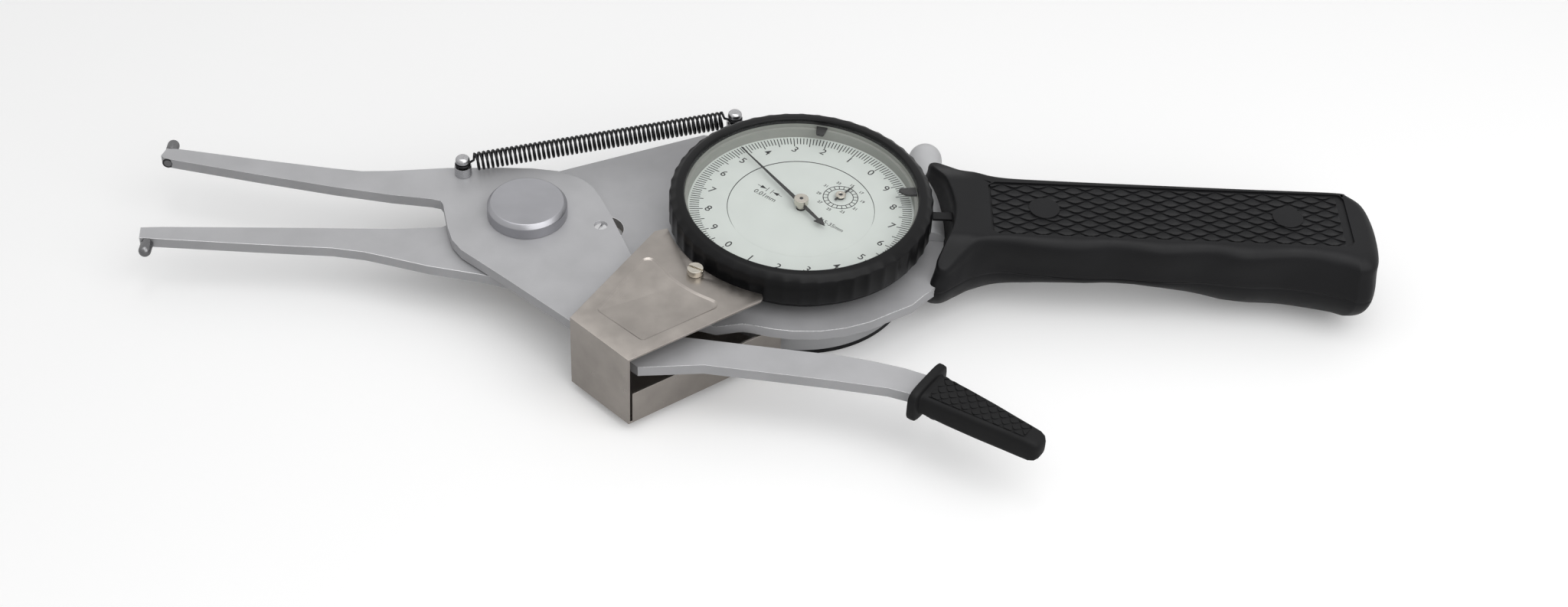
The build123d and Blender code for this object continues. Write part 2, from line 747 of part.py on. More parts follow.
for angle in boss_angles:
    x, y = polar(boss_circle, angle)
    head_top = screw_head_height - 0.2
    screw = disc(housing_screw_head, 0.05, head_top, x, y)
    screw += disc(housing_screw_radius, head_top, 5.0, x, y)
    cover_screws.append(screw - slotted(housing_screw_head, x, y, 0.05, angle, 0.35))
    screw = disc(housing_screw_head, case_floor_top, case_floor_top + screw_head_height, x, y)
    screw += disc(housing_screw_radius, plate_bottom - 4.0, case_floor_top, x, y)
    slot_top = case_floor_top + screw_head_height
    case_screws.append(screw - slotted(housing_screw_head, x, y, slot_top, angle))
write("back_cover_screws", Compound(cover_screws))
write("case_screws", Compound(case_screws))

# Dial case on the main plate: floor, bezel seat and the pedestal for the dial plate
case = ring(case_radius, case_radius - case_wall, plate_top, case_top)
case += disc(case_radius, plate_top, case_floor_top)
dial_underside = dial_level - dial_thickness
case += ring(pedestal_radius, pedestal_radius - pedestal_wall, case_floor_top, dial_underside)
case -= disc(1.5, plate_top - 1, case_floor_top + 1)
case -= disc(1.3, plate_top - 1, case_floor_top + 1, cx, cy)
for angle in boss_angles:
    x, y = polar(boss_circle, angle)
    case -= disc(housing_screw_radius, plate_top - 1, case_floor_top + 1, x, y)
write("dial_case", case)
dial_plate = disc(dial_plate_radius, dial_underside, dial_level)
dial_plate -= disc(1.1, dial_underside - 1, dial_level + 1)
dial_plate -= disc(0.9, dial_underside - 1, dial_level + 1, cx, cy)
write("dial_plate", dial_plate)

# Bezel with its fluted side, and what turns with it
bezel_bore = case_radius + bezel_bore_gap
shoulder_level = dial_level - bezel_shoulder_drop
ring_underside = dial_level - dial_thickness
crystal_top = rim_level - crystal_drop
crystal_bottom = crystal_top - crystal_thickness
flute_low = bezel_bottom + bezel_lip_height + bezel_lip_slope
flute_high = rim_level - bezel_chamfer_height
bezel_profile = Polyline(
    (bezel_bore, bezel_bottom),
    (bezel_lip_radius, bezel_bottom),
    (bezel_lip_radius, bezel_bottom + bezel_lip_height),
    (bezel_radius, flute_low),
    (bezel_radius, flute_high),
    (bezel_rim_outer, rim_level - 0.1),
    (bezel_rim_inner + 0.1, rim_level),
    (bezel_rim_inner, rim_level - 0.3),
    (bezel_rim_inner, shoulder_level),
    (bezel_bore, shoulder_level),
    close=True,
)
bezel = revolve(Plane.XZ * make_face(bezel_profile), Axis.Z)
for index in range(flute_count):
    place = polar(bezel_radius + flute_radius - flute_depth, 360.0 * index / flute_count)
    bezel -= disc(flute_radius, flute_low, flute_high, *place)
write("bezel", bezel)
scale_ring = ring(bezel_rim_inner, scale_inner_radius, ring_underside, dial_level)
write("scale_ring", scale_ring)
spacer = ring(bezel_rim_inner, bezel_rim_inner - spacer_wall, dial_level, crystal_bottom)
pointer_low = crystal_bottom - 0.35 - pointer_thickness
pointer_groove = ring(
    bezel_rim_inner + 0.1, bezel_rim_inner - spacer_wall - 1, pointer_low - 0.1, crystal_bottom + 0.01
)
spacer -= pointer_groove
write("crystal_spacer", spacer)
write("crystal", disc(bezel_rim_inner, crystal_bottom, crystal_top))


# Tolerance pointers that slide round in the groove under the crystal
def tolerance_pointer(angle):
    outer = bezel_rim_inner - 0.05
    half = pointer_width / 2
    tip = outer - pointer_depth
    outline = [
        (tip, 0.0),
        (tip + 0.5, -half * 0.75),
        (outer - 0.2, -half),
        (outer - 0.2, half),
        (tip + 0.5, half * 0.75),
    ]
    pointer = slab(outline, pointer_low, pointer_low + pointer_thickness)
    return Rot(0, 0, angle) * pointer


write("tolerance_pointer_upper", tolerance_pointer(pointer_angles[0]))
write("tolerance_pointer_lower", tolerance_pointer(pointer_angles[1]))

# Slit barrel that straddles the edge of the main plate behind the dial
barrel = Cylinder(barrel_radius, barrel_far_y - barrel_near_y, align=LOW)
barrel += Pos(0, 0, barrel_far_y - barrel_near_y) * Sphere(barrel_radius)
barrel = Pos(barrel_x, barrel_near_y, plate_middle) * Rot(-90, 0, 0) * barrel
barrel -= block(
    barrel_x - barrel_radius - 1, barrel_x + barrel_radius + 1, barrel_near_y - 1,
    barrel_slit_end, plate_bottom, plate_top,
)
write("stop_barrel", barrel)


# Leaf brake from the handle that bears on the side of the bezel
brake_level = dial_level - brake_drop
brake_top = brake_level + brake_thickness
brake_half = brake_width / 2
brake_end = bezel_radius + brake_gap + brake_length
brake = block(bezel_radius + brake_gap, brake_end, -brake_half, brake_half, brake_level, brake_top)
write("bezel_brake", brake)


# Handle shells: plan outlines at the parting line, the shoulder and the flat top
def handle_outline(level):
    if level == "seam":
        front, far_tip, near_tip = 32.3, (30.0, 18.8), (29.0, -16.2)
        near = [(33.7, -16.1), (37.6, -12.4), (43.0, -9.9), (58.0, -10.6), (68.0, -9.6)]
        near += [(78.0, -10.9), (87.0, -10.2), (97.0, -11.6), (107.0, -11.0), (120.0, -13.0)]
        end = [(125.2, -12.6), (126.0, -1.0), (124.2, 9.0)]
        far = [(120.0, 11.0), (80.0, 11.0), (46.0, 12.2), (37.0, 16.0)]
    elif level == "shoulder":
        front, far_tip, near_tip = 33.7, (31.0, 16.8), (30.6, -14.6)
        near = [(33.7, -14.0), (37.6, -11.2), (43.0, -9.7), (58.0, -10.9), (68.0, -9.7)]
        near += [(78.0, -11.3), (87.0, -10.1), (97.0, -12.2), (107.0, -10.9), (119.0, -14.0)]
        end = [(124.6, -12.4), (125.6, -1.0), (123.8, 8.6)]
        far = [(119.5, 10.5), (80.0, 10.6), (46.0, 11.5), (37.6, 14.2)]
    else:
        front, far_tip, near_tip = 34.8, (33.4, 12.9), (33.3, -11.4)
        near = [(36.2, -10.6), (39.0, -9.7), (43.0, -8.9), (58.0, -8.9), (68.0, -8.9)]
        near += [(78.0, -8.9), (87.0, -8.9), (97.0, -8.9), (107.0, -8.9), (118.0, -9.4)]
        end = [(122.6, -8.2), (123.8, -1.0), (122.2, 7.2)]
        far = [(118.0, 9.1), (80.0, 9.3), (46.0, 9.7), (38.6, 11.2)]
    return front, far_tip, near_tip, near, end, far


def handle_wire(level, height):
    front, far_tip, near_tip, near, end, far = handle_outline(level)
    with_z = lambda points: [(x, y, height) for x, y in points]
    edges = [
        ThreePointArc(*with_z([far_tip, (front, 0.0), near_tip])),
        Spline(*with_z([near_tip] + near)),
        Spline(*with_z([near[-1]] + end + [far[0]])),
        Spline(*with_z(far + [far_tip])),
    ]
    return Face(Wire(edges))


def hollowed(body, x0, x1, low, high):
    hollow = block(x0, x1, -tang_half_width, tang_half_width, low, high)
    for x in handle_screw_x:
        hollow -= disc(handle_boss_radius, low - 1, high + 1, x)
    return body - hollow


# Upper shell: straight sides, a rounded shoulder, and horns that slope down to their tips
def upper_body():
    levels = (
        handle_wire("seam", plate_middle),
        handle_wire("shoulder", plate_middle + shoulder_half_depth),
        handle_wire("top", handle_top),
    )
    body = loft(levels[:2], ruled=True) + loft(levels[1:], ruled=True)
    for side, slope in horn_slopes:
        sideways = Align.MIN if side > 0 else Align.MAX
        wedge = Box(2 * horn_end_x, 40, 20, align=(Align.CENTER, sideways, Align.MIN))
        body -= Pos(0, side * horn_start_y, handle_top) * Rot(-side * slope, 0, 0) * wedge
    return hollowed(body, 42.0, 118.0, plate_middle, handle_top - handle_wall)


# Lower shell: half ellipses across it, with an arch along the underside
def lower_body():
    stations = (
        (27.4, -15.2, 18.4, 10.4),
        (31.0, -17.0, 18.8, 10.4),
        (35.0, -14.2, 16.8, 10.0),
        (39.0, -11.4, 14.2, 9.4),
        (45.0, -9.8, 12.2, 8.0),
        (53.5, -10.6, 11.4, 5.9),
        (67.0, -10.8, 11.1, 4.2),
        (78.0, -11.2, 11.0, 5.0),
        (86.0, -10.9, 11.0, 7.4),
        (94.0, -11.5, 11.0, 9.8),
        (107.0, -11.3, 11.0, 10.7),
        (117.0, -13.0, 11.0, 11.2),
        (122.5, -14.8, 10.2, 11.2),
        (125.2, -13.6, 8.0, 10.2),
        (126.6, -9.0, 4.0, 6.5),
    )
    sections = []
    for x, near, far, depth in stations:
        arc = EllipticalCenterArc(((near + far) / 2, 0), (far - near) / 2, depth, 180, arc_size=180)
        chord = Line(arc @ 1, arc @ 0)
        across = Plane(origin=(x, 0, plate_middle), x_dir=(0, 1, 0), z_dir=(1, 0, 0))
        sections.append(across * make_face([arc, chord]))
    body = loft(sections, ruled=True)
    body -= disc(handle_front_radius, 0, handle_top)
    return hollowed(body, 92.0, 117.0, plate_middle - 5.5, plate_middle)


def handle_shell(body):
    clearance = 0.05
    tang = block(25.0, tang_end_x + clearance, -tang_half_width - clearance, tang_half_width + clearance,
                 plate_bottom, plate_top)
    near_root = [(25, -24), (30.4, -17.0), (38.4, -tang_half_width)]
    far_root = [(38.4, tang_half_width), (30.9, 17.4), (30.2, 20.0), (25, 24)]
    root = slab(near_root + far_root, plate_bottom, plate_top)
    body -= tang + root
    pocket = Cylinder(barrel_radius + 0.15, barrel_far_y + 12, align=LOW)
    body -= Pos(barrel_x, barrel_near_y - 0.4, plate_middle) * Rot(-90, 0, 0) * pocket
    for x in handle_screw_x:
        body -= disc(handle_screw_radius + 0.1, 0, handle_top + 1, x)
    return body


upper_shell = handle_shell(upper_body())
lower_shell = handle_shell(lower_body())
nut_level = handle_top - plug_thickness - nut_height - 0.6
seats = [
    plate_middle - depth + handle_screw_recess + handle_screw_head_height
    for depth in handle_screw_depths
]
for x, seat in zip(handle_screw_x, seats):
    upper_shell -= disc(plug_radius, nut_level, handle_top + 1, x)
    lower_shell -= disc(handle_screw_head_radius + 0.2, -1, seat, x)
upper_shell -= brake
write("handle_upper_shell", upper_shell)
write("handle_lower_shell", lower_shell)
plugs = []
screws = []
nuts = []
for x, seat in zip(handle_screw_x, seats):
    plugs.append(disc(plug_radius, handle_top - plug_thickness, handle_top, x))
    head_low = seat - handle_screw_head_height
    screw = disc(handle_screw_head_radius, head_low, seat, x)
    screw += disc(handle_screw_radius, seat, nut_level + nut_height, x)
    screws.append(screw - slotted(handle_screw_head_radius, x, 0, head_low, 20.0, 0.6))
    hexagon = extrude(RegularPolygon(nut_across / 2, 6, major_radius=False), amount=nut_height)
    nut = Pos(x, 0, nut_level) * hexagon
    nuts.append(nut - disc(handle_screw_radius, nut_level - 1, nut_level + nut_height + 1, x))
write("handle_plugs", Compound(plugs))
write("handle_screws", Compound(screws))
write("handle_nuts", Compound(nuts))

# Guard cover: one bent sheet over, beside and under the corner of the moving jaw
def guard():
    corner = Vector(*guard_corner)
    left = Vector(*guard_left)
    tip = Vector(*guard_tip)
    far = Vector(*guard_far)
    top_outline = [
        (left.X, left.Y),
        (corner.X, corner.Y),
        (tip.X, tip.Y),
        (-9.0, -26.0),
        (-26.0, -8.0),
        (far.X, far.Y),
    ]
    top = slab(top_outline, guard_top - guard_sheet, guard_top)
    top -= disc(bezel_radius + guard_dial_gap, guard_top - 2, guard_top + 1)
    upright = top.edges().filter_by(Axis.Z).sort_by_distance((*guard_tip, guard_top))
    top = fillet(upright[0], guard_tip_fillet)
    wall_direction = (corner - left).normalized()
    inward = Vector(-wall_direction.Y, wall_direction.X, 0)
    wall_points = [left, corner, corner + inward * guard_sheet, left + inward * guard_sheet]
    wall = slab([(p.X, p.Y) for p in wall_points], guard_bottom, guard_top)
    flap_direction = (tip - corner).normalized()
    flap_inward = Vector(-flap_direction.Y, flap_direction.X, 0)
    flap_start = corner + flap_direction * guard_slit
    flap_end = corner + flap_direction * 39.0
    fold = flap_inward * guard_sheet
    flap_points = [flap_start, flap_end, flap_end + fold, flap_start + fold]
    flap = slab([(p.X, p.Y) for p in flap_points], guard_bottom, guard_flap_top)
    bottom_points = [
        left,
        corner,
        flap_start,
        flap_end,
        flap_end + Vector(-1.0, 3.0, 0),
        Vector(-24.0, -14.0, 0),
        Vector(-36.0, -16.0, 0),
    ]
    bottom = slab([(p.X, p.Y) for p in bottom_points], guard_bottom, guard_bottom + guard_sheet)
    bottom -= disc(housing_radius + free_gap, guard_bottom - 1, guard_bottom + 2)
    flap -= disc(housing_radius + free_gap, guard_bottom - 1, plate_top)
    sheet = top + wall + bottom + flap
    sheet -= disc(guard_screw_radius + 0.1, guard_top - 2, guard_top + 1, *standoff_place)
    return sheet


write("guard_cover", guard())
guard_underside = guard_top - guard_sheet
standoff = ring(standoff_radius, guard_screw_radius, plate_top, guard_underside, *standoff_place)
write("guard_standoff", standoff)
guard_screw_top = guard_top + guard_screw_head_height
guard_screw = disc(guard_screw_head, guard_top, guard_screw_top, *standoff_place)
guard_screw += disc(guard_screw_radius, plate_bottom, guard_top, *standoff_place)
guard_screw -= slotted(guard_screw_head, *standoff_place, guard_screw_top, -25.0)
write("guard_screw", guard_screw)


# Rubber grip moulded over the tongue of the lever
def lever_grip():
    sx, sy = grip_start
    half_root = grip_root_width / 2
    half_tip = grip_tip_width / 2
    outline = [
        (0, -half_root),
        (grip_length - half_tip, -half_tip),
        (grip_length - half_tip * 0.3, -half_tip * 0.8),
        (grip_length, 0),
        (grip_length - half_tip * 0.3, half_tip * 0.8),
        (grip_length - half_tip, half_tip),
        (0, half_root),
    ]
    body = slab(outline, -grip_half_depth, grip_half_depth)
    half_flange = grip_flange_width / 2
    flange = block(0, grip_flange_thickness, -half_flange, half_flange,
                   -grip_flange_half_depth, grip_flange_half_depth)
    grip = Pos(sx, sy, jaw_middle) * Rot(0, 0, grip_angle) * (body + flange)
    return grip - moving_plate


write("lever_grip", lever_grip())
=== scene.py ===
# The dressed scene of the internal dial caliper gauge. Values are in millimetres and objects in
# metres, in the file's frame.
import math
from contextlib import contextmanager

import bmesh
import bpy
from mathutils import Matrix, Vector
from mathutils.geometry import delaunay_2d_cdt


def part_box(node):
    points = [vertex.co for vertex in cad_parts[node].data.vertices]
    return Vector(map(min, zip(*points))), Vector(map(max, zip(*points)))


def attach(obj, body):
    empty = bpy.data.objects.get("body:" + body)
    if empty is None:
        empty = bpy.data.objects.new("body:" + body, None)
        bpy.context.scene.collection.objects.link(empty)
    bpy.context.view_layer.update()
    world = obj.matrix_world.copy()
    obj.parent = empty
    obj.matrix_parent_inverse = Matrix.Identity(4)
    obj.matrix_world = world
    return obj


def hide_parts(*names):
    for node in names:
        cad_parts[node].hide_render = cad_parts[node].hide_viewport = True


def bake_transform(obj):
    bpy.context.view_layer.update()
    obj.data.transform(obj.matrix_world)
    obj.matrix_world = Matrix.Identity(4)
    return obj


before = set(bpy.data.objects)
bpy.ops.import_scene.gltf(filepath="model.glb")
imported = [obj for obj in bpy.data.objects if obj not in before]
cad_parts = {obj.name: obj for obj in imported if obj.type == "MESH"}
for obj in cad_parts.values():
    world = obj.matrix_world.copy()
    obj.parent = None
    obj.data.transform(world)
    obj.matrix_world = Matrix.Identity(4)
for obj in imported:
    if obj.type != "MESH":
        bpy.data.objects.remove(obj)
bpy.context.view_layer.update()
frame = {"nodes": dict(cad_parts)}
MM = 0.001


# Levels and sizes read from the frame, in millimetres
def low(node):
    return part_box(node)[0] / MM


def high(node):
    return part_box(node)[1] / MM


def middle(node):
    return (low(node) + high(node)) / 2


DIAL_TOP = high("dial_plate").z
BEZEL_LOW = low("bezel").z
BEZEL_HIGH = high("bezel").z
BEZEL_RADIUS = high("bezel").x
RIM_INNER = high("crystal").x
CRYSTAL_LOW = low("crystal").z
CASE_RADIUS = high("dial_case").x
GUARD_TOP = high("guard_cover").z
HANDLE_TOP = high("handle_upper_shell").z
HANDLE_SEAM = low("handle_upper_shell").z
GRIP_MIDDLE = middle("lever_grip").z

# Camera, solved from the picture, about the dial centre
PHOTO_WIDTH = 2048
PHOTO_HEIGHT = 793
FOCAL_PIXELS = 3019.65
SENSOR = 36.0
VIEW_AZIMUTH = math.radians(-1.729)
VIEW_TILT = math.radians(90.0 - 42.498)
VIEW_ROLL = math.radians(3.297)
VIEW_DISTANCE = 508.714
DIAL_PIXEL = (1046.005, 271.571)

# Scale print
SCALE_TICKS = 200
TICKS_PER_LONG_TICK = 5
TICK_OUTER = 24.5
TICK_LENGTH = 2.1
LONG_TICK_LENGTH = 2.9
TICK_WIDTH = 0.21
FIGURES = 20
FIGURE_CIRCLE = 20.4
FIGURE_SIZE = 2.7
FIGURE_BOLD = 0.01
FIRST_FIGURE_ANGLE = 39.94
TEXT_TURN = -36.8
INK_HEIGHT = 0.02

# Groove round the inner dial with its painted shadow line, then the print on the inner dial
GROOVE_OUTER = 16.3
GROOVE_COLUMNS = 180
GROOVE_DEPTH = 0.1
GROOVE_FADE_ANGLE = 5.0
GROOVE_FADE = 0.3
COUNTER_OUTER = 3.95
COUNTER_INNER = 2.75
COUNTER_LINE = 0.17
COUNTER_COLUMNS = 72
COUNTER_DIVISIONS = 20
COUNTER_TURN = 4.0
COUNTER_LABELS = [str(value) for value in range(15, 35, 2)]
COUNTER_LABEL_CIRCLE = 4.95
COUNTER_LABEL_ANGLE = 58.0
COUNTER_LABEL_SIZE = 1.1
COUNTER_LABEL_BOLD = 0.012
STEP_TEXT = ("0.01mm", 1.8, -7.95, 3.75)
RANGE_TEXT = ("15-35mm", 1.55, 6.8, -5.6)
ARROW_PLACE = (-6.9, 5.55)
ARROW_OUTLINES = (
    [(0.55, -0.75), (0.69, -0.75), (0.69, 0.75), (0.55, 0.75)],
    [(0.87, 0.0), (2.37, 0.48), (2.37, -0.48)],
    [(0.87, -0.06), (3.32, -0.06), (3.32, 0.06), (0.87, 0.06)],
)

# Hubs
HUB_CAP_DEPTH = 0.3
HUB_CAP_PROFILE = ((1.17, 0.02), (1.1, 0.08), (0.5, 0.08), (0.42, 0.0), (0.02, 0.0))
# Dark discs on the hub tops, which paint the shade inside their bores
SMALL_BORE_RADIUS = 0.4
MAIN_BORE_RADIUS = 0.42
BORE_PAINTED_SHADE_HEIGHT = 0.015

# Limit markers: outlines along the marker's own radius
MARKER_OUTER = 26.35
UPPER_MARKER = [
    (MARKER_OUTER, -1.35), (MARKER_OUTER, 1.35), (23.3, 1.0), (22.8, 0.7), (22.7, -0.55),
    (23.1, -0.85),
]
LOWER_MARKER = [
    (MARKER_OUTER, -1.3), (MARKER_OUTER, 1.15), (22.6, 1.15), (22.0, 0.95), (21.8, 0.5),
    (22.1, 0.05), (22.8, -0.75), (23.5, -1.2), (24.2, -1.3),
]

# Bezel
FLUTES = 48
FLUTE_DEPTH = 0.2
FLUTE_HALF_SHARE = 0.42
FLUTED_ROWS = (5, 6, 7, 8)
COLUMNS_PER_FLUTE = 16
ROUND_COLUMNS = 180

# Spring
SPRING_COILS = 54
COIL_STEPS = 18
COIL_FIRST_ANGLE = 60.0
SPRING_WIRE = 0.3
SPRING_RADIUS = 1.85
HOOK_REACH = 2.9
HOOK_RADIUS = 1.5
HOOK_LEAD = 0.4
HOOK_LIFT = 0.5
HOOK_SWEEP = 320.0
HOOK_STEPS = 18
FRONT_HOOK_ANGLE = 40.0
REAR_HOOK_ANGLE = 180.0

# Handle
PANEL = (42.0, 120.4, -8.5, 8.5)
PANEL_CORNER = 1.6
PANEL_DEPTH = 0.45
PANEL_MARGIN = 1.4
SCALE_WIDTH = 5.3
SCALE_PITCH = 1.57
PLUG_PLACES = (53.5, 107.4)
PLUG_RADIUS = 3.4
PLUG_RISE = 0.06
PLUG_SHIFT = 0.4
SCREW_RECESSES = ((53.5, 8.97), (107.4, 4.17))
SCREW_RECESS_RADIUS = 3.0
TOP_ROUND = 2.6
HORN_START = 9.0
HORN_RUN = 8.5
HORN_DROP_NEAR = 0.52
HORN_DROP_FAR = 0.2
HORN_END_X = 41.0
HANDLE_FRONT_RADIUS = 32.0
HANDLE_END_ROUND_X = 118.5
HORN_END_RUN = 6.0
PANEL_CLEARANCE = (0.5, 0.25)
FLANGE_START = (31.0, -17.0)
FLANGE_STEP = 0.6
FLANGE_COUNTS = (20, 60)
FLANGE_CLEAR = 0.45
SEAM_STEPS = ((0.0, 0.18), (0.12, 0.05), (0.3, 0.0))
SIDE_STEPS = 8
ROUND_STEPS = 10
FRONT_HALF_WIDTH = 18.0
UNDERSIDE_STEPS = (
    (0.0, 0.18), (0.8, 0.05), (2.0, 0.0), *((6.0 * step, 0.0) for step in range(1, 15))
)
UNDERSIDE_DEPTHS = [
    (26.0, 10.4), (33.0, 10.3), (39.0, 9.4), (45.0, 8.0), (53.5, 5.9), (60.0, 4.8), (67.0, 4.2),
    (74.0, 4.4), (80.0, 5.4), (86.0, 7.4), (94.0, 9.8), (101.0, 10.5), (108.0, 10.7), (117.0, 11.2),
    (122.0, 11.2), (128.0, 11.0),
]

# Overlapping scales: the outline of one from its far corner round its near tip, as shares of its
# half width, its reach and its rise
SCALE_EDGE = [
    (0.0, 1.0, 0.0), (-1.0, 0.0, 0.3), (-0.62, -0.44, 0.62), (-0.26, -0.83, 0.94),
    (0.0, -0.93, 1.0), (0.26, -0.83, 0.94), (0.62, -0.44, 0.62), (1.0, 0.0, 0.3),
]
SCALE_WIDTH_SHARE = 0.965
SCALE_REACH_SHARE = 0.94
SCALE_ROOT = 0.12
SCALE_CROWN = 0.93
SCALE_CROWN_SHIFT = 0.03

# Grip: distance along it, half width and half depth
GRIP_START = (25.6, -50.5)
GRIP_TURN = -34.0
GRIP_STATIONS = [
    (0.0, 6.4, 3.9), (0.15, 6.5, 4.1), (0.9, 6.5, 4.2), (1.6, 6.4, 4.1), (1.8, 6.1, 3.9),
    (1.85, 4.7, 3.0), (2.3, 4.35, 2.9), (8.0, 4.2, 2.9), (15.0, 3.7, 2.9), (21.0, 3.05, 2.9),
    (24.5, 2.75, 2.85), (26.4, 2.6, 2.75), (27.5, 2.2, 2.4), (28.1, 1.5, 1.8), (28.4, 0.6, 0.8),
]
GRIP_POWER = 4.5
GRIP_COLUMNS = 40
GRIP_SCALE_AREA = (3.2, 24.6, -3.9, 3.9)
GRIP_SCALE_WIDTH = 2.5
GRIP_SCALE_PITCH = 1.3
GRIP_SCALE_RISE = 0.24
GRIP_SCALE_BASE = 2.86
GRIP_SCALE_HALF = 3.75
GRIP_TAPER = 0.085

# Light: how white the floor is as seen, as scattered, in a mirror and by itself. Then the strength
# of the surrounding light as scattered and as mirrored, each over a span of the direction's height
# or of its way to the far side
FLOOR_SEEN = 0.96
FLOOR_SCATTER = 0.4
FLOOR_MIRRORED = 0.45
FLOOR_GLOW = 0.1
FLOOR_REACH = 3000.0
FLOOR_DROP = 0.05
SKY_SPAN = (0.0, 0.9)
SKY_LOW = 0.17
SKY_HIGH = 0.66
FRONT_SPAN = (0.5, -0.6)
SIDE_LIGHT = 0.82
FRONT_LIGHT = 0.7
TOP_SPAN = (0.84, 0.97)
TOP_LIGHT = 1.4

# Lamps: place, aim, size and power, in metres and watts
LAMPS = {
    "key": ((-0.45, -0.3, 0.8), (0.0, 0.0, 0.0), (0.7, 0.7), 0.5),
    "overhead": ((-0.05, 0.0, 1.0), (0.0, 0.0, 0.0), (0.35, 0.25), 0.45),
    "fill": ((0.24, -0.3, 0.38), (0.03, -0.03, 0.0), (0.6, 0.6), 1.75),
}

# Finishes
NOISE_SPAN = (0.3, 0.7)
BLASTED_METALLIC = 0.3
PLASTIC_SPECULAR = 0.17
GLASS_ROUGHNESS = 0.03
GLASS_EDGE_POWER = 5.0
GLASS_EDGE_GLOSS = 0.6
GLASS_GLOSS = 0.015


# Node helpers for the procedural materials
def fed(tree, socket, value):
    """Gives a socket a number or another socket's value."""
    if isinstance(value, float):
        socket.default_value = value
    else:
        tree.links.new(value, socket)


def calculated(tree, operation, *values):
    """The result of a math node on sockets and numbers."""
    made = tree.nodes.new("ShaderNodeMath")
    made.operation = operation
    for socket, value in zip(made.inputs, values):
        fed(tree, socket, value)
    return made.outputs[0]


def mapped(tree, source, start, end, first, last, curve="LINEAR"):
    """A value taken from the range start to end to the range first to last."""
    ramp = tree.nodes.new("ShaderNodeMapRange")
    ramp.interpolation_type = curve
    for key, value in zip(("From Min", "From Max", "To Min", "To Max"), (start, end, first, last)):
        ramp.inputs[key].default_value = value
    tree.links.new(source, ramp.inputs["Value"])
    return ramp.outputs["Result"]


def mixed_colour(tree, share, first, second):
    mix = tree.nodes.new("ShaderNodeMix")
    mix.data_type = "RGBA"
    tree.links.new(share, mix.inputs["Factor"])
    colours = [socket for socket in mix.inputs if socket.type == "RGBA"]
    for socket, colour in zip(colours, (first, second)):
        socket.default_value = (*colour, 1.0)
    return [socket for socket in mix.outputs if socket.type == "RGBA"][0]


def mixed_shader(tree, share, first, second):
    mix = tree.nodes.new("ShaderNodeMixShader")
    for socket, source in zip(mix.inputs, (share, first, second)):
        tree.links.new(source, socket)
    return mix.outputs["Shader"]


class Shader:
    """A Principled material."""

    def __init__(self, name, base, metallic, roughness):
        self.material = bpy.data.materials.new(name)
        self.material.use_nodes = True
        self.tree = self.material.node_tree
        self.main = self.tree.nodes["Principled BSDF"]
        self.main.inputs["Base Color"].default_value = (*base, 1.0)
        self.main.inputs["Metallic"].default_value = metallic
        self.main.inputs["Roughness"].default_value = roughness
        self.coordinates = self.tree.nodes.new("ShaderNodeTexCoord").outputs["Object"]

    def node(self, kind, **inputs):
        made = self.tree.nodes.new(kind)
        for key, value in inputs.items():
            made.inputs[key].default_value = value
        return made

    def link(self, source, target):
        self.tree.links.new(source, target)

    def noise(self, size_mm, detail, stretch=(1.0, 1.0, 1.0)):
        mapping = self.node("ShaderNodeMapping", Scale=stretch)
        self.link(self.coordinates, mapping.inputs["Vector"])
        noise = self.node("ShaderNodeTexNoise", Scale=1.0 / (size_mm * MM), Detail=detail)
        self.link(mapping.outputs["Vector"], noise.inputs["Vector"])
        return noise.outputs["Fac"]


def varied(name, base, metallic, smooth, coarse, tint, rough, bump):
    """A finish whose colour, roughness and height each follow a noise of their own. A noise is
    given by its size, detail and stretch."""
    shader = Shader(name, base, metallic, (smooth + coarse) / 2)
    inputs = shader.main.inputs
    pattern, darker, lighter = tint
    share = mapped(shader.tree, shader.noise(*pattern), *NOISE_SPAN, 0.0, 1.0)
    ends = [[min(1.0, c * scale) for c in base] for scale in (darker, lighter)]
    shader.link(mixed_colour(shader.tree, share, *ends), inputs["Base Color"])
    spread = mapped(shader.tree, shader.noise(*rough), *NOISE_SPAN, smooth, coarse)
    shader.link(spread, inputs["Roughness"])
    pattern, depth, strength = bump
    relief = shader.node("ShaderNodeBump", Strength=strength, Distance=depth * MM)
    shader.link(shader.noise(*pattern), relief.inputs["Height"])
    shader.link(relief.outputs["Normal"], inputs["Normal"])
    return shader


def blasted_metal(name, base, smooth, coarse, grain=0.1, metallic=BLASTED_METALLIC):
    return varied(
        name, base, metallic, smooth, coarse,
        ((9.0, 4.0), 0.94, 1.05), (2.2, 5.0), ((grain, 2.0), 0.012, 0.5),
    ).material


def turned_metal(name, base, smooth, coarse):
    return varied(
        name, base, 1.0, smooth, coarse, ((1.5, 3.0), 0.92, 1.06), (0.6, 4.0, (1.0, 1.0, 6.0)),
        ((0.12, 2.0, (1.0, 1.0, 5.0)), 0.006, 0.5),
    ).material


def plated_sheet(name, base, smooth, coarse):
    return varied(
        name, base, 1.0, smooth, coarse,
        ((6.5, 6.0), 0.88, 1.07), (3.0, 6.0), ((0.18, 3.0), 0.008, 0.45),
    ).material


def moulded(name, base, smooth, coarse, grain=0.22, depth=0.02):
    shader = varied(
        name, base, 0.0, smooth, coarse,
        ((14.0, 3.0), 0.86, 1.16), (4.0, 5.0), ((grain, 3.0), depth, 0.55),
    )
    shader.main.inputs["Specular IOR Level"].default_value = PLASTIC_SPECULAR
    return shader.material


def paint(name, base, smooth, coarse):
    return varied(
        name, base, 0.0, smooth, coarse,
        ((5.0, 4.0), 0.975, 1.02), (1.2, 3.0), ((0.15, 2.0), 0.004, 0.4),
    ).material


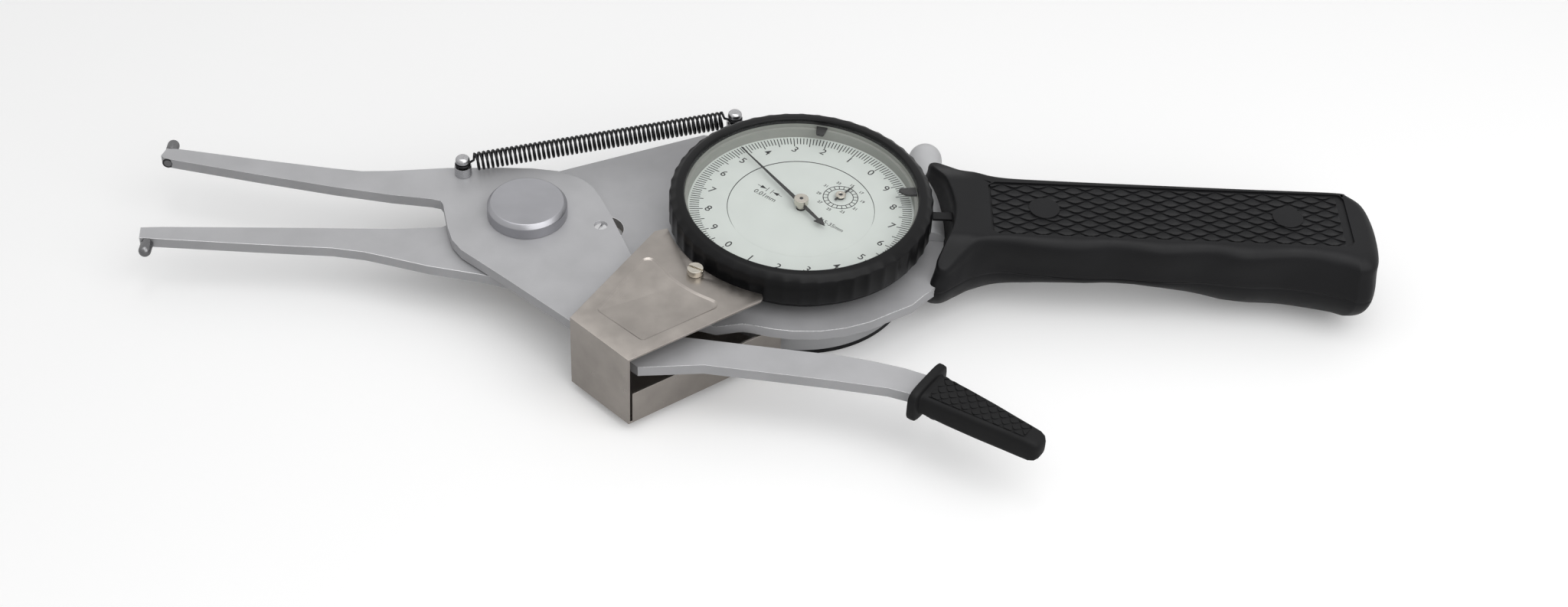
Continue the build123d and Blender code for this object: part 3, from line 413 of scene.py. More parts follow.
def clear_glass(name):
    """Clear seen from above, with more gloss the flatter it is seen."""
    shader = Shader(name, (1.0, 1.0, 1.0), 0.0, GLASS_ROUGHNESS)
    tree = shader.tree
    clear = shader.node("ShaderNodeBsdfTransparent").outputs["BSDF"]
    gloss = shader.node("ShaderNodeBsdfGlossy", Roughness=GLASS_ROUGHNESS).outputs["BSDF"]
    facing = shader.node("ShaderNodeLayerWeight", Blend=0.5).outputs["Facing"]
    edge = calculated(tree, "POWER", facing, GLASS_EDGE_POWER)
    share = calculated(tree, "MULTIPLY_ADD", edge, GLASS_EDGE_GLOSS, GLASS_GLOSS)
    output = tree.nodes["Material Output"]
    shader.link(mixed_shader(tree, share, clear, gloss), output.inputs["Surface"])
    tree.nodes.remove(shader.main)
    return shader.material


plate_metal = blasted_metal("blasted_plate", (0.46, 0.46, 0.472), 0.42, 0.5)
knob_metal = blasted_metal("knob_metal", (0.41, 0.41, 0.432), 0.32, 0.4, 0.08, 1.0)
pin_metal = turned_metal("contact_metal", (0.2, 0.2, 0.205), 0.2, 0.32)
steel_metal = turned_metal("turned_steel", (0.5, 0.5, 0.51), 0.2, 0.3)
nickel_metal = turned_metal("plated_nickel", (0.6, 0.565, 0.5), 0.16, 0.28)
bright_metal = turned_metal("bright_steel", (0.74, 0.74, 0.75), 0.18, 0.28)
# Deburred edges: a smoother finish, and a lighter colour that paints a highlight along the edges
edge_metal_painted_highlight = turned_metal("deburred_edge_painted_highlight", (0.78, 0.78, 0.79), 0.22, 0.32)
bronze_metal = turned_metal("turned_bronze", (0.5, 0.27, 0.1), 0.28, 0.4)
brass_metal = turned_metal("wheel_brass", (0.62, 0.44, 0.17), 0.26, 0.38)
anodised = blasted_metal("anodised_bar", (0.55, 0.553, 0.563), 0.36, 0.44, 0.09)
sheet_metal = plated_sheet("plated_sheet", (0.4, 0.368, 0.34), 0.27, 0.4)
spring_metal = turned_metal("black_spring_wire", (0.025, 0.025, 0.027), 0.24, 0.36)
bezel_plastic = moulded("bezel_black", (0.006, 0.006, 0.0065), 0.3, 0.38, 0.15, 0.004)
handle_plastic = moulded("handle_black", (0.0105, 0.0105, 0.0115), 0.36, 0.46)
grip_rubber = moulded("grip_rubber", (0.009, 0.009, 0.0095), 0.48, 0.6, 0.18, 0.016)
cover_black = moulded("cover_black", (0.015, 0.015, 0.016), 0.32, 0.44, 0.15, 0.01)
dial_paint = paint("dial_paint", (0.69, 0.735, 0.7), 0.45, 0.6)
wall_paint = paint("wall_paint", (0.32, 0.33, 0.305), 0.5, 0.65)
# Print colour, also used for the painted shade in the hub bores and the painted shadow in the
# dial's groove
ink_and_painted_shade = paint("dial_ink_and_painted_shade", (0.011, 0.012, 0.013), 0.5, 0.6)
hand_paint = paint("hand_black", (0.012, 0.012, 0.012), 0.4, 0.5)
glass = clear_glass("crystal_clear")

# Finish of the plain nodes. All others are turned steel
NODE_FINISH = {
    plate_metal: ("main_plate", "moving_plate"),
    knob_metal: ("pivot_knob",),
    pin_metal: ("fixed_contact", "moving_contact"),
    bright_metal: ("adjusting_screw",),
    nickel_metal: ("main_hand_hub", "guard_screw", "guard_standoff"),
    bronze_metal: ("pivot_bush", "arbor_bearings", "hairspring", "pivot_washer"),
    brass_metal: (
        "gear_sector", "intermediate_wheel", "counter_wheel", "upper_bridge", "lower_bridge",
        "bridge_pillars",
    ),
    anodised: ("gear_housing", "stop_barrel"),
    sheet_metal: ("guard_cover",),
    spring_metal: ("return_spring",),
    bezel_plastic: ("bezel", "dial_case"),
    cover_black: ("back_cover", "bezel_brake"),
    handle_plastic: ("handle_upper_shell", "handle_lower_shell", "handle_plugs"),
    grip_rubber: ("lever_grip",),
    dial_paint: ("dial_plate", "scale_ring"),
    wall_paint: ("crystal_spacer",),
    hand_paint: ("main_hand", "small_hand", "tolerance_pointer_upper", "tolerance_pointer_lower"),
    glass: ("crystal",),
}
node_material = dict.fromkeys(frame["nodes"], steel_metal)
for finish, names in NODE_FINISH.items():
    node_material.update(dict.fromkeys(names, finish))
for node_name, cad_object in frame["nodes"].items():
    cad_object.data.materials.clear()
    cad_object.data.materials.append(node_material[node_name])


# Mesh helpers
@contextmanager
def editing(mesh):
    """A mesh opened in bmesh and written back at the end."""
    shape = bmesh.new()
    shape.from_mesh(mesh)
    shape.verts.ensure_lookup_table()
    yield shape
    shape.to_mesh(mesh)
    shape.free()


def smooth(mesh, angle=32.0):
    mesh.shade_smooth()
    mesh.set_sharp_from_angle(angle=math.radians(angle))


def shown(name, data):
    piece = bpy.data.objects.new(name, data)
    bpy.context.scene.collection.objects.link(piece)
    return piece


def place(mesh, name, material, body, nodes=()):
    mesh.materials.clear()
    mesh.materials.append(material)
    piece = shown(name, mesh)
    if body:
        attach(piece, body)
    if nodes:
        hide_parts(*nodes)
    return piece


def build(points, faces, name):
    mesh = bpy.data.meshes.new(name)
    mesh.from_pydata([tuple(Vector(p) * MM) for p in points], [], faces)
    mesh.update()
    return mesh


def outward(mesh):
    with editing(mesh) as shape:
        bmesh.ops.recalc_face_normals(shape, faces=shape.faces)
    return mesh


def moved(mesh, place_at, degrees=0.0, axis="Z"):
    """A mesh turned about an axis through the origin and then carried to a place."""
    spot = Matrix.Translation(Vector(place_at) * MM)
    mesh.transform(spot @ Matrix.Rotation(math.radians(degrees), 4, axis))
    return mesh


def evaluated_mesh(piece):
    bpy.context.view_layer.update()
    graph = bpy.context.evaluated_depsgraph_get()
    return bpy.data.meshes.new_from_object(piece.evaluated_get(graph))


def mesh_of(curve):
    """The mesh that a curve or text makes."""
    holder = shown(curve.name, curve)
    mesh = evaluated_mesh(holder)
    bpy.data.objects.remove(holder)
    return mesh


def bake_modifiers(piece):
    done = evaluated_mesh(piece)
    piece.modifiers.clear()
    piece.data = done


def cut_out(piece, cutter):
    cut = piece.modifiers.new("cut", "BOOLEAN")
    cut.operation = "DIFFERENCE"
    cut.solver = "EXACT"
    cut.object = cutter
    bake_modifiers(piece)
    bpy.data.objects.remove(cutter)


def rounded_edges(piece, width, angle, segments, deburred_highlighted):
    bevel = piece.modifiers.new("rounded", "BEVEL")
    # The bevel faces take the lighter edge finish, a painted highlight
    if deburred_highlighted:
        piece.data.materials.append(edge_metal_painted_highlight)
        bevel.material = 1
    bevel.width = width * MM
    bevel.segments = segments
    bevel.limit_method = "ANGLE"
    bevel.angle_limit = math.radians(angle)
    bevel.use_clamp_overlap = True
    bevel.harden_normals = False
    bake_modifiers(piece)
    smooth(piece.data, 40.0)
    flat = piece.modifiers.new("flat_faces", "WEIGHTED_NORMAL")
    flat.mode = "FACE_AREA"
    flat.weight = 100
    flat.keep_sharp = True
    bake_modifiers(piece)


MERGE_DISTANCE = 2e-6
FLAT_ANGLE = math.radians(0.4)


def polished(node, width, body, angle=30.0, segments=2, deburred_highlighted=False):
    """A copy of a machined piece with its edges broken. Deburred edges get a smoother finish in a
    lighter colour, which is a painted highlight along them.
    """
    mesh = frame["nodes"][node].data.copy()
    with editing(mesh) as shape:
        bmesh.ops.remove_doubles(shape, verts=shape.verts, dist=MERGE_DISTANCE)
        bmesh.ops.dissolve_limit(
            shape, angle_limit=FLAT_ANGLE, verts=shape.verts, edges=shape.edges
        )
    if "custom_normal" in mesh.attributes:
        mesh.attributes.remove(mesh.attributes["custom_normal"])
    piece = place(mesh, node + "_finished", node_material[node], body, (node,))
    rounded_edges(piece, width, angle, segments, deburred_highlighted)
    return piece


def turn(x, y, degrees):
    a = math.radians(degrees)
    return (x * math.cos(a) - y * math.sin(a), x * math.sin(a) + y * math.cos(a))


def ring_of(radius, degrees):
    return turn(radius, 0.0, degrees)


def between(a, b, share):
    return tuple(p + (q - p) * share for p, q in zip(a, b))


def eased(share):
    share = min(max(share, 0.0), 1.0)
    return share * share * (3 - 2 * share)


def band(rows, count, wrapped=False):
    """Faces between rows of points, each row a closed loop of the same count. A wrapped band
    also joins its last row to its first."""
    faces = []
    for row in range(rows if wrapped else rows - 1):
        after = (row + 1) % rows
        for i in range(count):
            j = (i + 1) % count
            faces.append((row * count + i, row * count + j, after * count + j, after * count + i))
    return faces


def skinned(rings, name, capped=(0,)):
    """A skin over closed loops of points, with a face over each capped loop."""
    count = len(rings[0])
    faces = band(len(rings), count)
    for row in capped:
        faces.append(tuple(row * count + i for i in range(count)))
    return build([point for ring in rings for point in ring], faces, name)


def lathe(profile, columns, name, shape_radius=None):
    """A turned skin of a closed profile. shape_radius(row, degrees, radius) may change a radius."""
    points = []
    for column in range(columns):
        degrees = 360.0 * column / columns
        for row, (radius, level) in enumerate(profile):
            r = shape_radius(row, degrees, radius) if shape_radius else radius
            points.append((*ring_of(r, degrees), level))
    return outward(build(points, band(columns, len(profile), wrapped=True), name))


def prism(outline, base, top, points, faces):
    """Adds a straight-sided solid to lists of points and faces."""
    start = len(points)
    count = len(outline)
    points.extend((x, y, base) for x, y in outline)
    points.extend((x, y, top) for x, y in outline)
    faces.append(tuple(start + i for i in reversed(range(count))))
    faces.append(tuple(start + count + i for i in range(count)))
    faces.extend(tuple(start + i for i in face) for face in band(2, count))


def prism_mesh(outline, base, top, name):
    points = []
    faces = []
    prism(outline, base, top, points, faces)
    return outward(build(points, faces, name))


def flowing(points, count):
    """A smooth open line through points, as count + 1 samples."""
    line = []
    last = len(points) - 1
    for sample in range(count + 1):
        place_on = sample * last / count
        i = min(int(place_on), last - 1)
        t = place_on - i
        four = (points[max(i - 1, 0)], points[i], points[i + 1], points[min(i + 2, last)])
        line.append(tuple(
            0.5 * (
                2 * q + (r - p) * t + (2 * p - 5 * q + 4 * r - s) * t * t
                + (3 * q - p - 3 * r + s) * t * t * t
            )
            for p, q, r, s in zip(*four)
        ))
    return line


def lettering(text, size, x, y, level, bolder=0.0):
    """A line of generic characters as a thin raised print, centred on x and y."""
    curve = bpy.data.curves.new("line", "FONT")
    curve.body = text
    curve.size = size * MM
    curve.extrude = INK_HEIGHT / 2 * MM
    curve.offset = bolder * MM
    curve.align_x = "CENTER"
    curve.align_y = "CENTER"
    curve.resolution_u = 4
    return moved(mesh_of(curve), (x, y, level + INK_HEIGHT / 2), TEXT_TURN)


def joined(meshes, name):
    shape = bmesh.new()
    for mesh in meshes:
        shape.from_mesh(mesh)
    whole = bpy.data.meshes.new(name)
    shape.to_mesh(whole)
    shape.free()
    return whole


def tube(path, radius, name):
    """A round wire along a path of points."""
    curve = bpy.data.curves.new(name, "CURVE")
    curve.dimensions = "3D"
    curve.bevel_depth = radius * MM
    curve.bevel_resolution = 2
    curve.use_fill_caps = True
    line = curve.splines.new("POLY")
    line.points.add(len(path) - 1)
    for point, place_at in zip(line.points, path):
        point.co = (*(Vector(place_at) * MM), 1.0)
    return mesh_of(curve)


def fill_between(shape, corners, borders, left_open=None):
    """Triangles inside bordering loops of vertices, seen from above. left_open(x, y) says where
    none are made."""
    plan = [Vector((v.co.x / MM, v.co.y / MM)) for v in corners]
    spots, _, triangles, sources, _, _ = delaunay_2d_cdt(plan, borders, [], 1, 1e-5)
    for face in triangles:
        x = sum(spots[i].x for i in face) / len(face)
        y = sum(spots[i].y for i in face) / len(face)
        if left_open is None or not left_open(x, y):
            shape.faces.new([corners[sources[i][0]] for i in face])


def loop_edges(start, count):
    return [(start + i, start + (i + 1) % count) for i in range(count)]


def trim(shape, spot, normal):
    """Cuts away what lies beyond a plane."""
    bmesh.ops.bisect_plane(
        shape, geom=[*shape.verts, *shape.edges, *shape.faces], plane_co=Vector(spot) * MM,
        plane_no=normal, clear_outer=True,
    )


# Machined pieces with broken edges
# The plates' deburred edges carry a painted highlight
polished("main_plate", 0.22, "frame", deburred_highlighted=True)
polished("moving_plate", 0.22, "moving_jaw", deburred_highlighted=True)
polished("pivot_knob", 0.14, "moving_jaw", 25.0, 3)
polished("guard_screw", 0.12, "frame")
polished("adjusting_screw", 0.08, "moving_jaw")
polished("front_spring_post", 0.14, "moving_jaw")
polished("rear_spring_post", 0.14, "frame")
polished("stop_barrel", 0.2, "frame")
guard = polished("guard_cover", 0.16, "frame", 40.0, 3)
polished("main_hand_hub", 0.12, "main_pointer")
polished("gear_housing", 0.2, "frame")
polished("back_cover", 0.2, "frame")
polished("bezel_brake", 0.12, "frame")
polished("fixed_contact", 0.08, "frame")
polished("moving_contact", 0.08, "moving_jaw")


# Bezel: a turned ring with shallow scallops round its side
def bezel_ring():
    level = BEZEL_LOW
    top = BEZEL_HIGH
    outer = BEZEL_RADIUS
    bore = CASE_RADIUS + 0.1
    profile = [
        (bore, level + 0.15),
        (bore + 0.2, level),
        (outer - 1.0, level),
        (outer - 0.75, level + 0.2),
        (outer - 0.7, level + 0.85),
        (outer - 0.12, level + 1.15),
        (outer, level + 1.45),
        (outer, top - 1.35),
        (outer - 0.22, top - 0.95),
        (outer - 1.35, top - 0.18),
        (outer - 1.7, top),
        (RIM_INNER + 0.35, top),
        (RIM_INNER + 0.08, top - 0.25),
        (RIM_INNER + 0.02, top - 0.5),
        (RIM_INNER + 0.02, DIAL_TOP - 1.1),
        (bore, DIAL_TOP - 1.1),
    ]

    def scalloped(row, degrees, radius):
        across = abs((degrees * FLUTES / 360.0) % 1.0 - 0.5) / FLUTE_HALF_SHARE
        if row not in FLUTED_ROWS or across >= 1.0:
            return radius
        return radius - FLUTE_DEPTH * (1.0 - across * across)

    mesh = lathe(profile, FLUTES * COLUMNS_PER_FLUTE, "bezel_scalloped", scalloped)
    smooth(mesh, 30.0)
    place(mesh, "bezel_scalloped", bezel_plastic, "bezel_ring", ("bezel",))


bezel_ring()


# Crystal, clear of the wall that holds it
def crystal_lens():
    under = CRYSTAL_LOW
    top = high("crystal").z
    edge = RIM_INNER - 0.05
    profile = [(0.01, under), (edge, under), (edge, top - 0.15), (edge - 0.15, top), (0.01, top)]
    mesh = lathe(profile, ROUND_COLUMNS, "crystal_lens")
    smooth(mesh, 20.0)
    place(mesh, "crystal_lens", glass, "bezel_ring", ("crystal",))


crystal_lens()


# Pale wall inside the rim, above the ledge that the limit markers slide on
def rim_liner():
    inner = RIM_INNER - 0.04
    ledge = high("crystal_spacer").z
    profile = [(inner, ledge), (RIM_INNER, ledge), (RIM_INNER, CRYSTAL_LOW), (inner, CRYSTAL_LOW)]
    mesh = lathe(profile, ROUND_COLUMNS, "rim_liner")
    smooth(mesh)
    place(mesh, "rim_liner", wall_paint, "bezel_ring")


rim_liner()


def turned(outline, degrees, centre=(0.0, 0.0)):
    spots = [turn(u, v, degrees) for u, v in outline]
    return [(centre[0] + u, centre[1] + v) for u, v in spots]


def stroke(inner, outer, width):
    """The outline of a line between two circles."""
    half = width / 2
    return [(inner, -half), (outer, -half), (outer, half), (inner, half)]


# Print that turns with the bezel: ticks and figures
def scale_print():
    points = []
    faces = []
    level = high("scale_ring").z
    for index in range(SCALE_TICKS):
        degrees = FIRST_FIGURE_ANGLE + 360.0 * index / SCALE_TICKS
        length = TICK_LENGTH if index % TICKS_PER_LONG_TICK else LONG_TICK_LENGTH
        outline = turned(stroke(TICK_OUTER - length, TICK_OUTER, TICK_WIDTH), degrees)
        prism(outline, level, level + INK_HEIGHT, points, faces)
    meshes = [build(points, faces, "ticks")]
    for index in range(FIGURES):
        x, y = ring_of(FIGURE_CIRCLE, FIRST_FIGURE_ANGLE + 360.0 * index / FIGURES)
        meshes.append(lettering(str(index % 10), FIGURE_SIZE, x, y, level, FIGURE_BOLD))
    place(joined(meshes, "scale_print"), "scale_print", ink_and_painted_shade, "bezel_ring")


scale_print()


# Print on the fixed inner dial
def dial_print():
    level = DIAL_TOP
    top = level + INK_HEIGHT
    x0, y0 = middle("counter_wheel").xy
    points = []
    faces = []
    for index in range(COUNTER_DIVISIONS):
        degrees = 360.0 * index / COUNTER_DIVISIONS + COUNTER_TURN
        line = stroke(COUNTER_INNER, COUNTER_OUTER, COUNTER_LINE)
        prism(turned(line, degrees, (x0, y0)), level, top, points, faces)
    for outline in ARROW_OUTLINES:
        for degrees in (TEXT_TURN, TEXT_TURN + 180.0):
            prism(turned(outline, degrees, ARROW_PLACE), level, top, points, faces)
    meshes = [outward(build(points, faces, "dial_lines"))]
    for outer in (COUNTER_OUTER, COUNTER_INNER + COUNTER_LINE):
        inner = outer - COUNTER_LINE
        profile = [(outer, level), (outer, top), (inner, top), (inner, level)]
        meshes.append(moved(lathe(profile, COUNTER_COLUMNS, "counter_ring"), (x0, y0, 0.0)))
    for index, label in enumerate(COUNTER_LABELS):
        degrees = COUNTER_LABEL_ANGLE - 360.0 * index / len(COUNTER_LABELS)
        u, v = ring_of(COUNTER_LABEL_CIRCLE, degrees)
        meshes.append(
            lettering(label, COUNTER_LABEL_SIZE, x0 + u, y0 + v, level, COUNTER_LABEL_BOLD)
        )
    for text, size, x, y in (STEP_TEXT, RANGE_TEXT):
        meshes.append(lettering(text, size, x, y, level))
    place(joined(meshes, "dial_print"), "dial_print", ink_and_painted_shade, "frame")


dial_print()


# Hub details: a plated cap on the small hand, and in both hubs a flat dark disc that paints the
# shade inside the bore
def hub_details():
    x, y = middle("counter_wheel").xy
    top = high("small_hand").z
    base = top - HUB_CAP_DEPTH
    profile = [(0.02, base), (HUB_CAP_PROFILE[0][0], base)]
    profile += [(radius, top + rise) for radius, rise in HUB_CAP_PROFILE]
    cap = moved(lathe(profile, 64, "small_hub_cap"), (x, y, 0.0))
    smooth(cap)
    place(cap, "small_hub_cap", nickel_metal, "turn_counter")
    # Flat dark discs over the bores: painted shade
    bore_painted_shades = (
        ("small_hub_bore_painted_shade", (x, y, top + 0.01), SMALL_BORE_RADIUS, "turn_counter"),
        ("main_hub_bore_painted_shade", (0.0, 0.0, high("main_hand_hub").z), MAIN_BORE_RADIUS, "main_pointer"),
    )
    for name, spot, radius, body in bore_painted_shades:
        profile = [(0.01, 0.0), (radius, 0.0), (radius, BORE_PAINTED_SHADE_HEIGHT), (0.01, BORE_PAINTED_SHADE_HEIGHT)]
        place(moved(lathe(profile, 32, name), spot), name, ink_and_painted_shade, body)


hub_details()


# Groove round the inner dial, filled with dial paint, with a dark line in it that paints the
# groove's shadow and fades towards the near side
def groove_ring(name, material, level, widest, narrowest):
    def narrowed(row, degrees, radius):
        swell = 0.5 + 0.5 * math.sin(math.radians(degrees - GROOVE_FADE_ANGLE))
        width = narrowest + (widest - narrowest) * max(0.0, swell - GROOVE_FADE) ** 0.5
        return radius if row < 2 else radius - width

    levels = (level, level - GROOVE_DEPTH, level - GROOVE_DEPTH, level)
    profile = [(GROOVE_OUTER, height) for height in levels]
    place(lathe(profile, GROOVE_COLUMNS, name, narrowed), name, material, "frame")


groove_ring("groove_filler", dial_paint, DIAL_TOP - 0.01, 0.32, 0.32)
# Painted shadow of the groove: widest on the far side, thinning to almost nothing on the near side
groove_ring("groove_painted_shadow", ink_and_painted_shade, DIAL_TOP + 0.005, 0.3, 0.004)


# Limit markers: a tab on the far side, a hooked tongue on the right
def limit_marker(node, body, outline):
    centre = middle(node)
    mesh = prism_mesh(outline, low(node).z, high(node).z, node + "_marker")
    moved(mesh, (0.0, 0.0, 0.0), math.degrees(math.atan2(centre.y, centre.x)))
    place(mesh, mesh.name, hand_paint, body, (node,))


limit_marker("tolerance_pointer_upper", "upper_pointer", UPPER_MARKER)
limit_marker("tolerance_pointer_lower", "lower_pointer", LOWER_MARKER)


# Return spring with its hooks round the post necks
def return_spring():
    level = middle("return_spring").z
    start = Vector((*middle("front_spring_post").xy, level))
    end = Vector((*middle("rear_spring_post").xy, level))
    along = (end - start).normalized()
    side = Vector((-along.y, along.x, 0.0))
    up = Vector((0.0, 0.0, 1.0))
    lead = along * (HOOK_REACH - HOOK_LEAD)

    def round_point(centre, radius, first, second, degrees):
        angle = math.radians(degrees)
        return centre + (first * math.cos(angle) + second * math.sin(angle)) * radius

    def hook(centre, first_angle):
        turns = [first_angle + HOOK_SWEEP * step / HOOK_STEPS for step in range(HOOK_STEPS + 1)]
        return [round_point(centre, HOOK_RADIUS, along, side, degrees) for degrees in turns]

    path = hook(start, FRONT_HOOK_ANGLE)
    path.append(start + lead + up * HOOK_LIFT)
    samples = SPRING_COILS * COIL_STEPS
    first_coil = start + along * HOOK_REACH
    last_coil = end - along * HOOK_REACH
    for step in range(samples + 1):
        degrees = COIL_FIRST_ANGLE + 360.0 * SPRING_COILS * step / samples
        centre = first_coil + (last_coil - first_coil) * (step / samples)
        path.append(round_point(centre, SPRING_RADIUS, side, up, degrees))
    path.append(end - lead + up * HOOK_LIFT)
    path += hook(end, REAR_HOOK_ANGLE)
    mesh = tube(path, SPRING_WIRE, "spring_coils")
    smooth(mesh, 60.0)
    piece = place(mesh, "spring_coils", spring_metal, None, ("return_spring",))
    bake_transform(piece)


return_spring()


# Pressed field in the guard's top
FIELD_LEFT = (-42.6, -36.0)
FIELD_APEX = (-32.8, -17.6)
FIELD_RIGHT = (-15.87, -32.89)
FIELD_NEAR = (-32.5, -44.9)
FIELD_CURVE = [(-30.4, -20.4), (-29.4, -21.8), (-26.6, -25.5), (-22.6, -28.9), (-19.4, -30.8)]
FIELD_MIDDLE = Vector((-29.5, -32.0))
FIELD_PROFILE = ((0.0, 0.0), (0.08, -0.03), (0.24, -0.14), (0.42, -0.25), (0.55, -0.28))
SHEET = 0.5
FIELD_CUT = (-2.0, 1.0)


def corner_arc(before, corner, after, radius, steps=10):
    """The rounding of one corner, as points from one side to the other."""
    spot = Vector(corner)
    back = (Vector(before) - spot).normalized()
    ahead = (Vector(after) - spot).normalized()
    half = back.angle(ahead) / 2
    centre = spot + (back + ahead).normalized() * radius / math.sin(half)
    first = spot + back * radius / math.tan(half) - centre
    last = spot + ahead * radius / math.tan(half) - centre
    return [centre + (first.lerp(last, k / steps)).normalized() * radius for k in range(steps + 1)]


def field_loop(inset):
    loop = corner_arc(FIELD_NEAR, FIELD_LEFT, FIELD_APEX, 1.0)
    loop += corner_arc(FIELD_LEFT, FIELD_APEX, FIELD_CURVE[1], 1.6)
    loop += [Vector(p) for p in flowing(FIELD_CURVE, 24)]
    loop += corner_arc(FIELD_CURVE[-2], FIELD_RIGHT, FIELD_NEAR, 1.7)
    loop += corner_arc(FIELD_RIGHT, FIELD_NEAR, FIELD_LEFT, 1.0)
    inner = []
    for i, p in enumerate(loop):
        tangent = (loop[(i + 1) % len(loop)] - loop[i - 1]).normalized()
        inward = Vector((-tangent.y, tangent.x))
        if inward.dot(FIELD_MIDDLE - p) < 0:
            inward = -inward
        inner.append(p + inward * inset)
    return inner


def guard_field(guard):
    below, above = FIELD_CUT
    cutter = prism_mesh(
        [tuple(p) for p in field_loop(0.0)], GUARD_TOP + below, GUARD_TOP + above, "field_cutter"
    )
    cut_out(guard, shown("field_cutter", cutter))
    rings = []
    for inset, lift in FIELD_PROFILE:
        rings.append([(p.x, p.y, GUARD_TOP + lift) for p in field_loop(inset)])
    under = [[(x, y, z - SHEET) for x, y, z in ring] for ring in rings]
    rings = under[::-1] + rings
    mesh = skinned(rings, "guard_field", capped=())
    with editing(mesh) as shape:
        count = len(rings[0])
        for first in (0, (len(rings) - 1) * count):
            corners = [shape.verts[first + i] for i in range(count)]
            fill_between(shape, corners, loop_edges(0, count))
    smooth(outward(mesh), 40.0)
    place(mesh, mesh.name, sheet_metal, "frame")


guard_field(guard)


# Handle: outlines at the parting line, at the shoulder and at the flat top. Each part ends where
# the next one begins
SEAM_LINE = {
    "front": [(28.2, 18.0), (30.9, 9.5), (32.0, 0.0), (31.0, -8.5)],
    "near": [
        (28.4, -15.2), (28.4, -16.4), (29.6, -17.3), (31.6, -17.0), (34.6, -14.6), (38.4, -11.7),
        (44.0, -9.8), (52.0, -10.5), (62.0, -11.1), (70.0, -10.8), (80.0, -11.3), (88.0, -10.9),
        (98.0, -11.8), (107.0, -11.7), (116.4, -13.4),
    ],
    "end": [(122.0, -15.4), (125.2, -14.8), (126.8, -10.5), (127.0, -1.0), (125.8, 6.7)],
    "far": [
        (122.9, 10.2), (119.0, 11.0), (98.0, 10.9), (78.0, 11.0), (56.0, 11.4), (44.0, 12.4),
        (37.0, 16.0), (31.6, 19.6), (28.9, 20.0), (27.9, 19.2),
    ],
}
SHOULDER_LINE = {
    "front": [(29.0, 16.6), (32.2, 9.0), (33.4, 0.0), (32.4, -8.0)],
    "near": [
        (29.6, -13.6), (29.5, -14.9), (30.5, -16.1), (32.2, -15.8), (35.2, -13.4), (38.6, -11.3),
        (44.0, -10.7), (52.0, -11.4), (60.0, -11.7), (68.2, -11.0), (78.6, -12.0), (89.0, -11.4),
        (97.0, -12.6), (109.0, -11.7), (116.4, -13.0),
    ],
    "end": [(121.4, -15.0), (124.6, -14.0), (126.2, -10.0), (126.6, -1.0), (125.4, 6.5)],
    "far": [
        (122.4, 9.8), (119.0, 10.5), (98.0, 10.5), (78.0, 10.7), (56.0, 11.0), (44.0, 11.7),
        (37.6, 14.2), (32.6, 17.4), (30.2, 18.2), (28.9, 17.8),
    ],
}
TOP_LINE = {
    "front": [(29.8, 16.2), (32.8, 9.0), (34.6, 0.0), (33.2, -7.6)],
    "near": [
        (30.6, -13.2), (29.9, -14.6), (30.3, -15.5), (31.6, -15.4), (34.8, -12.6), (38.8, -10.2),
        (44.0, -9.2), (52.0, -9.1), (60.0, -9.1), (68.2, -9.1), (78.6, -9.2), (89.0, -9.2),
        (97.0, -9.3), (109.0, -9.3), (116.4, -9.8),
    ],
    "end": [(120.6, -10.8), (122.6, -10.0), (123.8, -7.2), (124.2, -1.0), (123.2, 5.0)],
    "far": [
        (121.0, 8.4), (118.4, 9.1), (98.0, 9.2), (78.0, 9.3), (56.0, 9.5), (44.0, 9.9),
        (38.4, 11.9), (33.8, 15.4), (31.2, 17.0), (29.9, 17.0),
    ],
}
SEGMENT_SAMPLES = {"front": 24, "near": 150, "end": 30, "far": 110}


def outline_loop(line):
    parts = list(line.values())
    loop = []
    for part, after, count in zip(parts, parts[1:] + parts[:1], SEGMENT_SAMPLES.values()):
        loop.extend(flowing([*part, after[0]], count)[:-1])
    return loop


def rounded_rectangle(x0, x1, y0, y1, radius, steps=6):
    loop = []
    corners = ((x1 - radius, y1 - radius, 0), (x0 + radius, y1 - radius, 90),
               (x0 + radius, y0 + radius, 180), (x1 - radius, y0 + radius, 270))
    for cx, cy, start in corners:
        for step in range(steps + 1):
            u, v = ring_of(radius, start + 90.0 * step / steps)
            loop.append((cx + u, cy + v))
    return loop


def horn_height(x, y):
    """The share of the full height above the parting line that a column of the handle keeps."""
    sideways = eased((abs(y) - HORN_START) / HORN_RUN)
    forwards = eased((HORN_END_X - x) / HORN_END_RUN)
    return 1.0 - (HORN_DROP_FAR if y > 0 else HORN_DROP_NEAR) * sideways * forwards


def flange_points(rim, edge_x):
    """Points inside the top of the flange, a plain grid that keeps clear of the rim."""
    sides = list(zip(rim, rim[1:] + rim[:1]))
    columns, rows = FLANGE_COUNTS

    def inside(x, y):
        crossed = [
            x < a[0] + (b[0] - a[0]) * (y - a[1]) / (b[1] - a[1])
            for a, b in sides if (a[1] > y) != (b[1] > y)
        ]
        return sum(crossed) % 2 == 1

    found = []
    for column in range(columns):
        for row in range(rows):
            x = FLANGE_START[0] + FLANGE_STEP * column
            y = FLANGE_START[1] + FLANGE_STEP * row
            clear = min(math.dist(p, (x, y)) for p in rim) >= FLANGE_CLEAR
            if clear and x <= edge_x and inside(x, y):
                found.append((x, y))
    return found


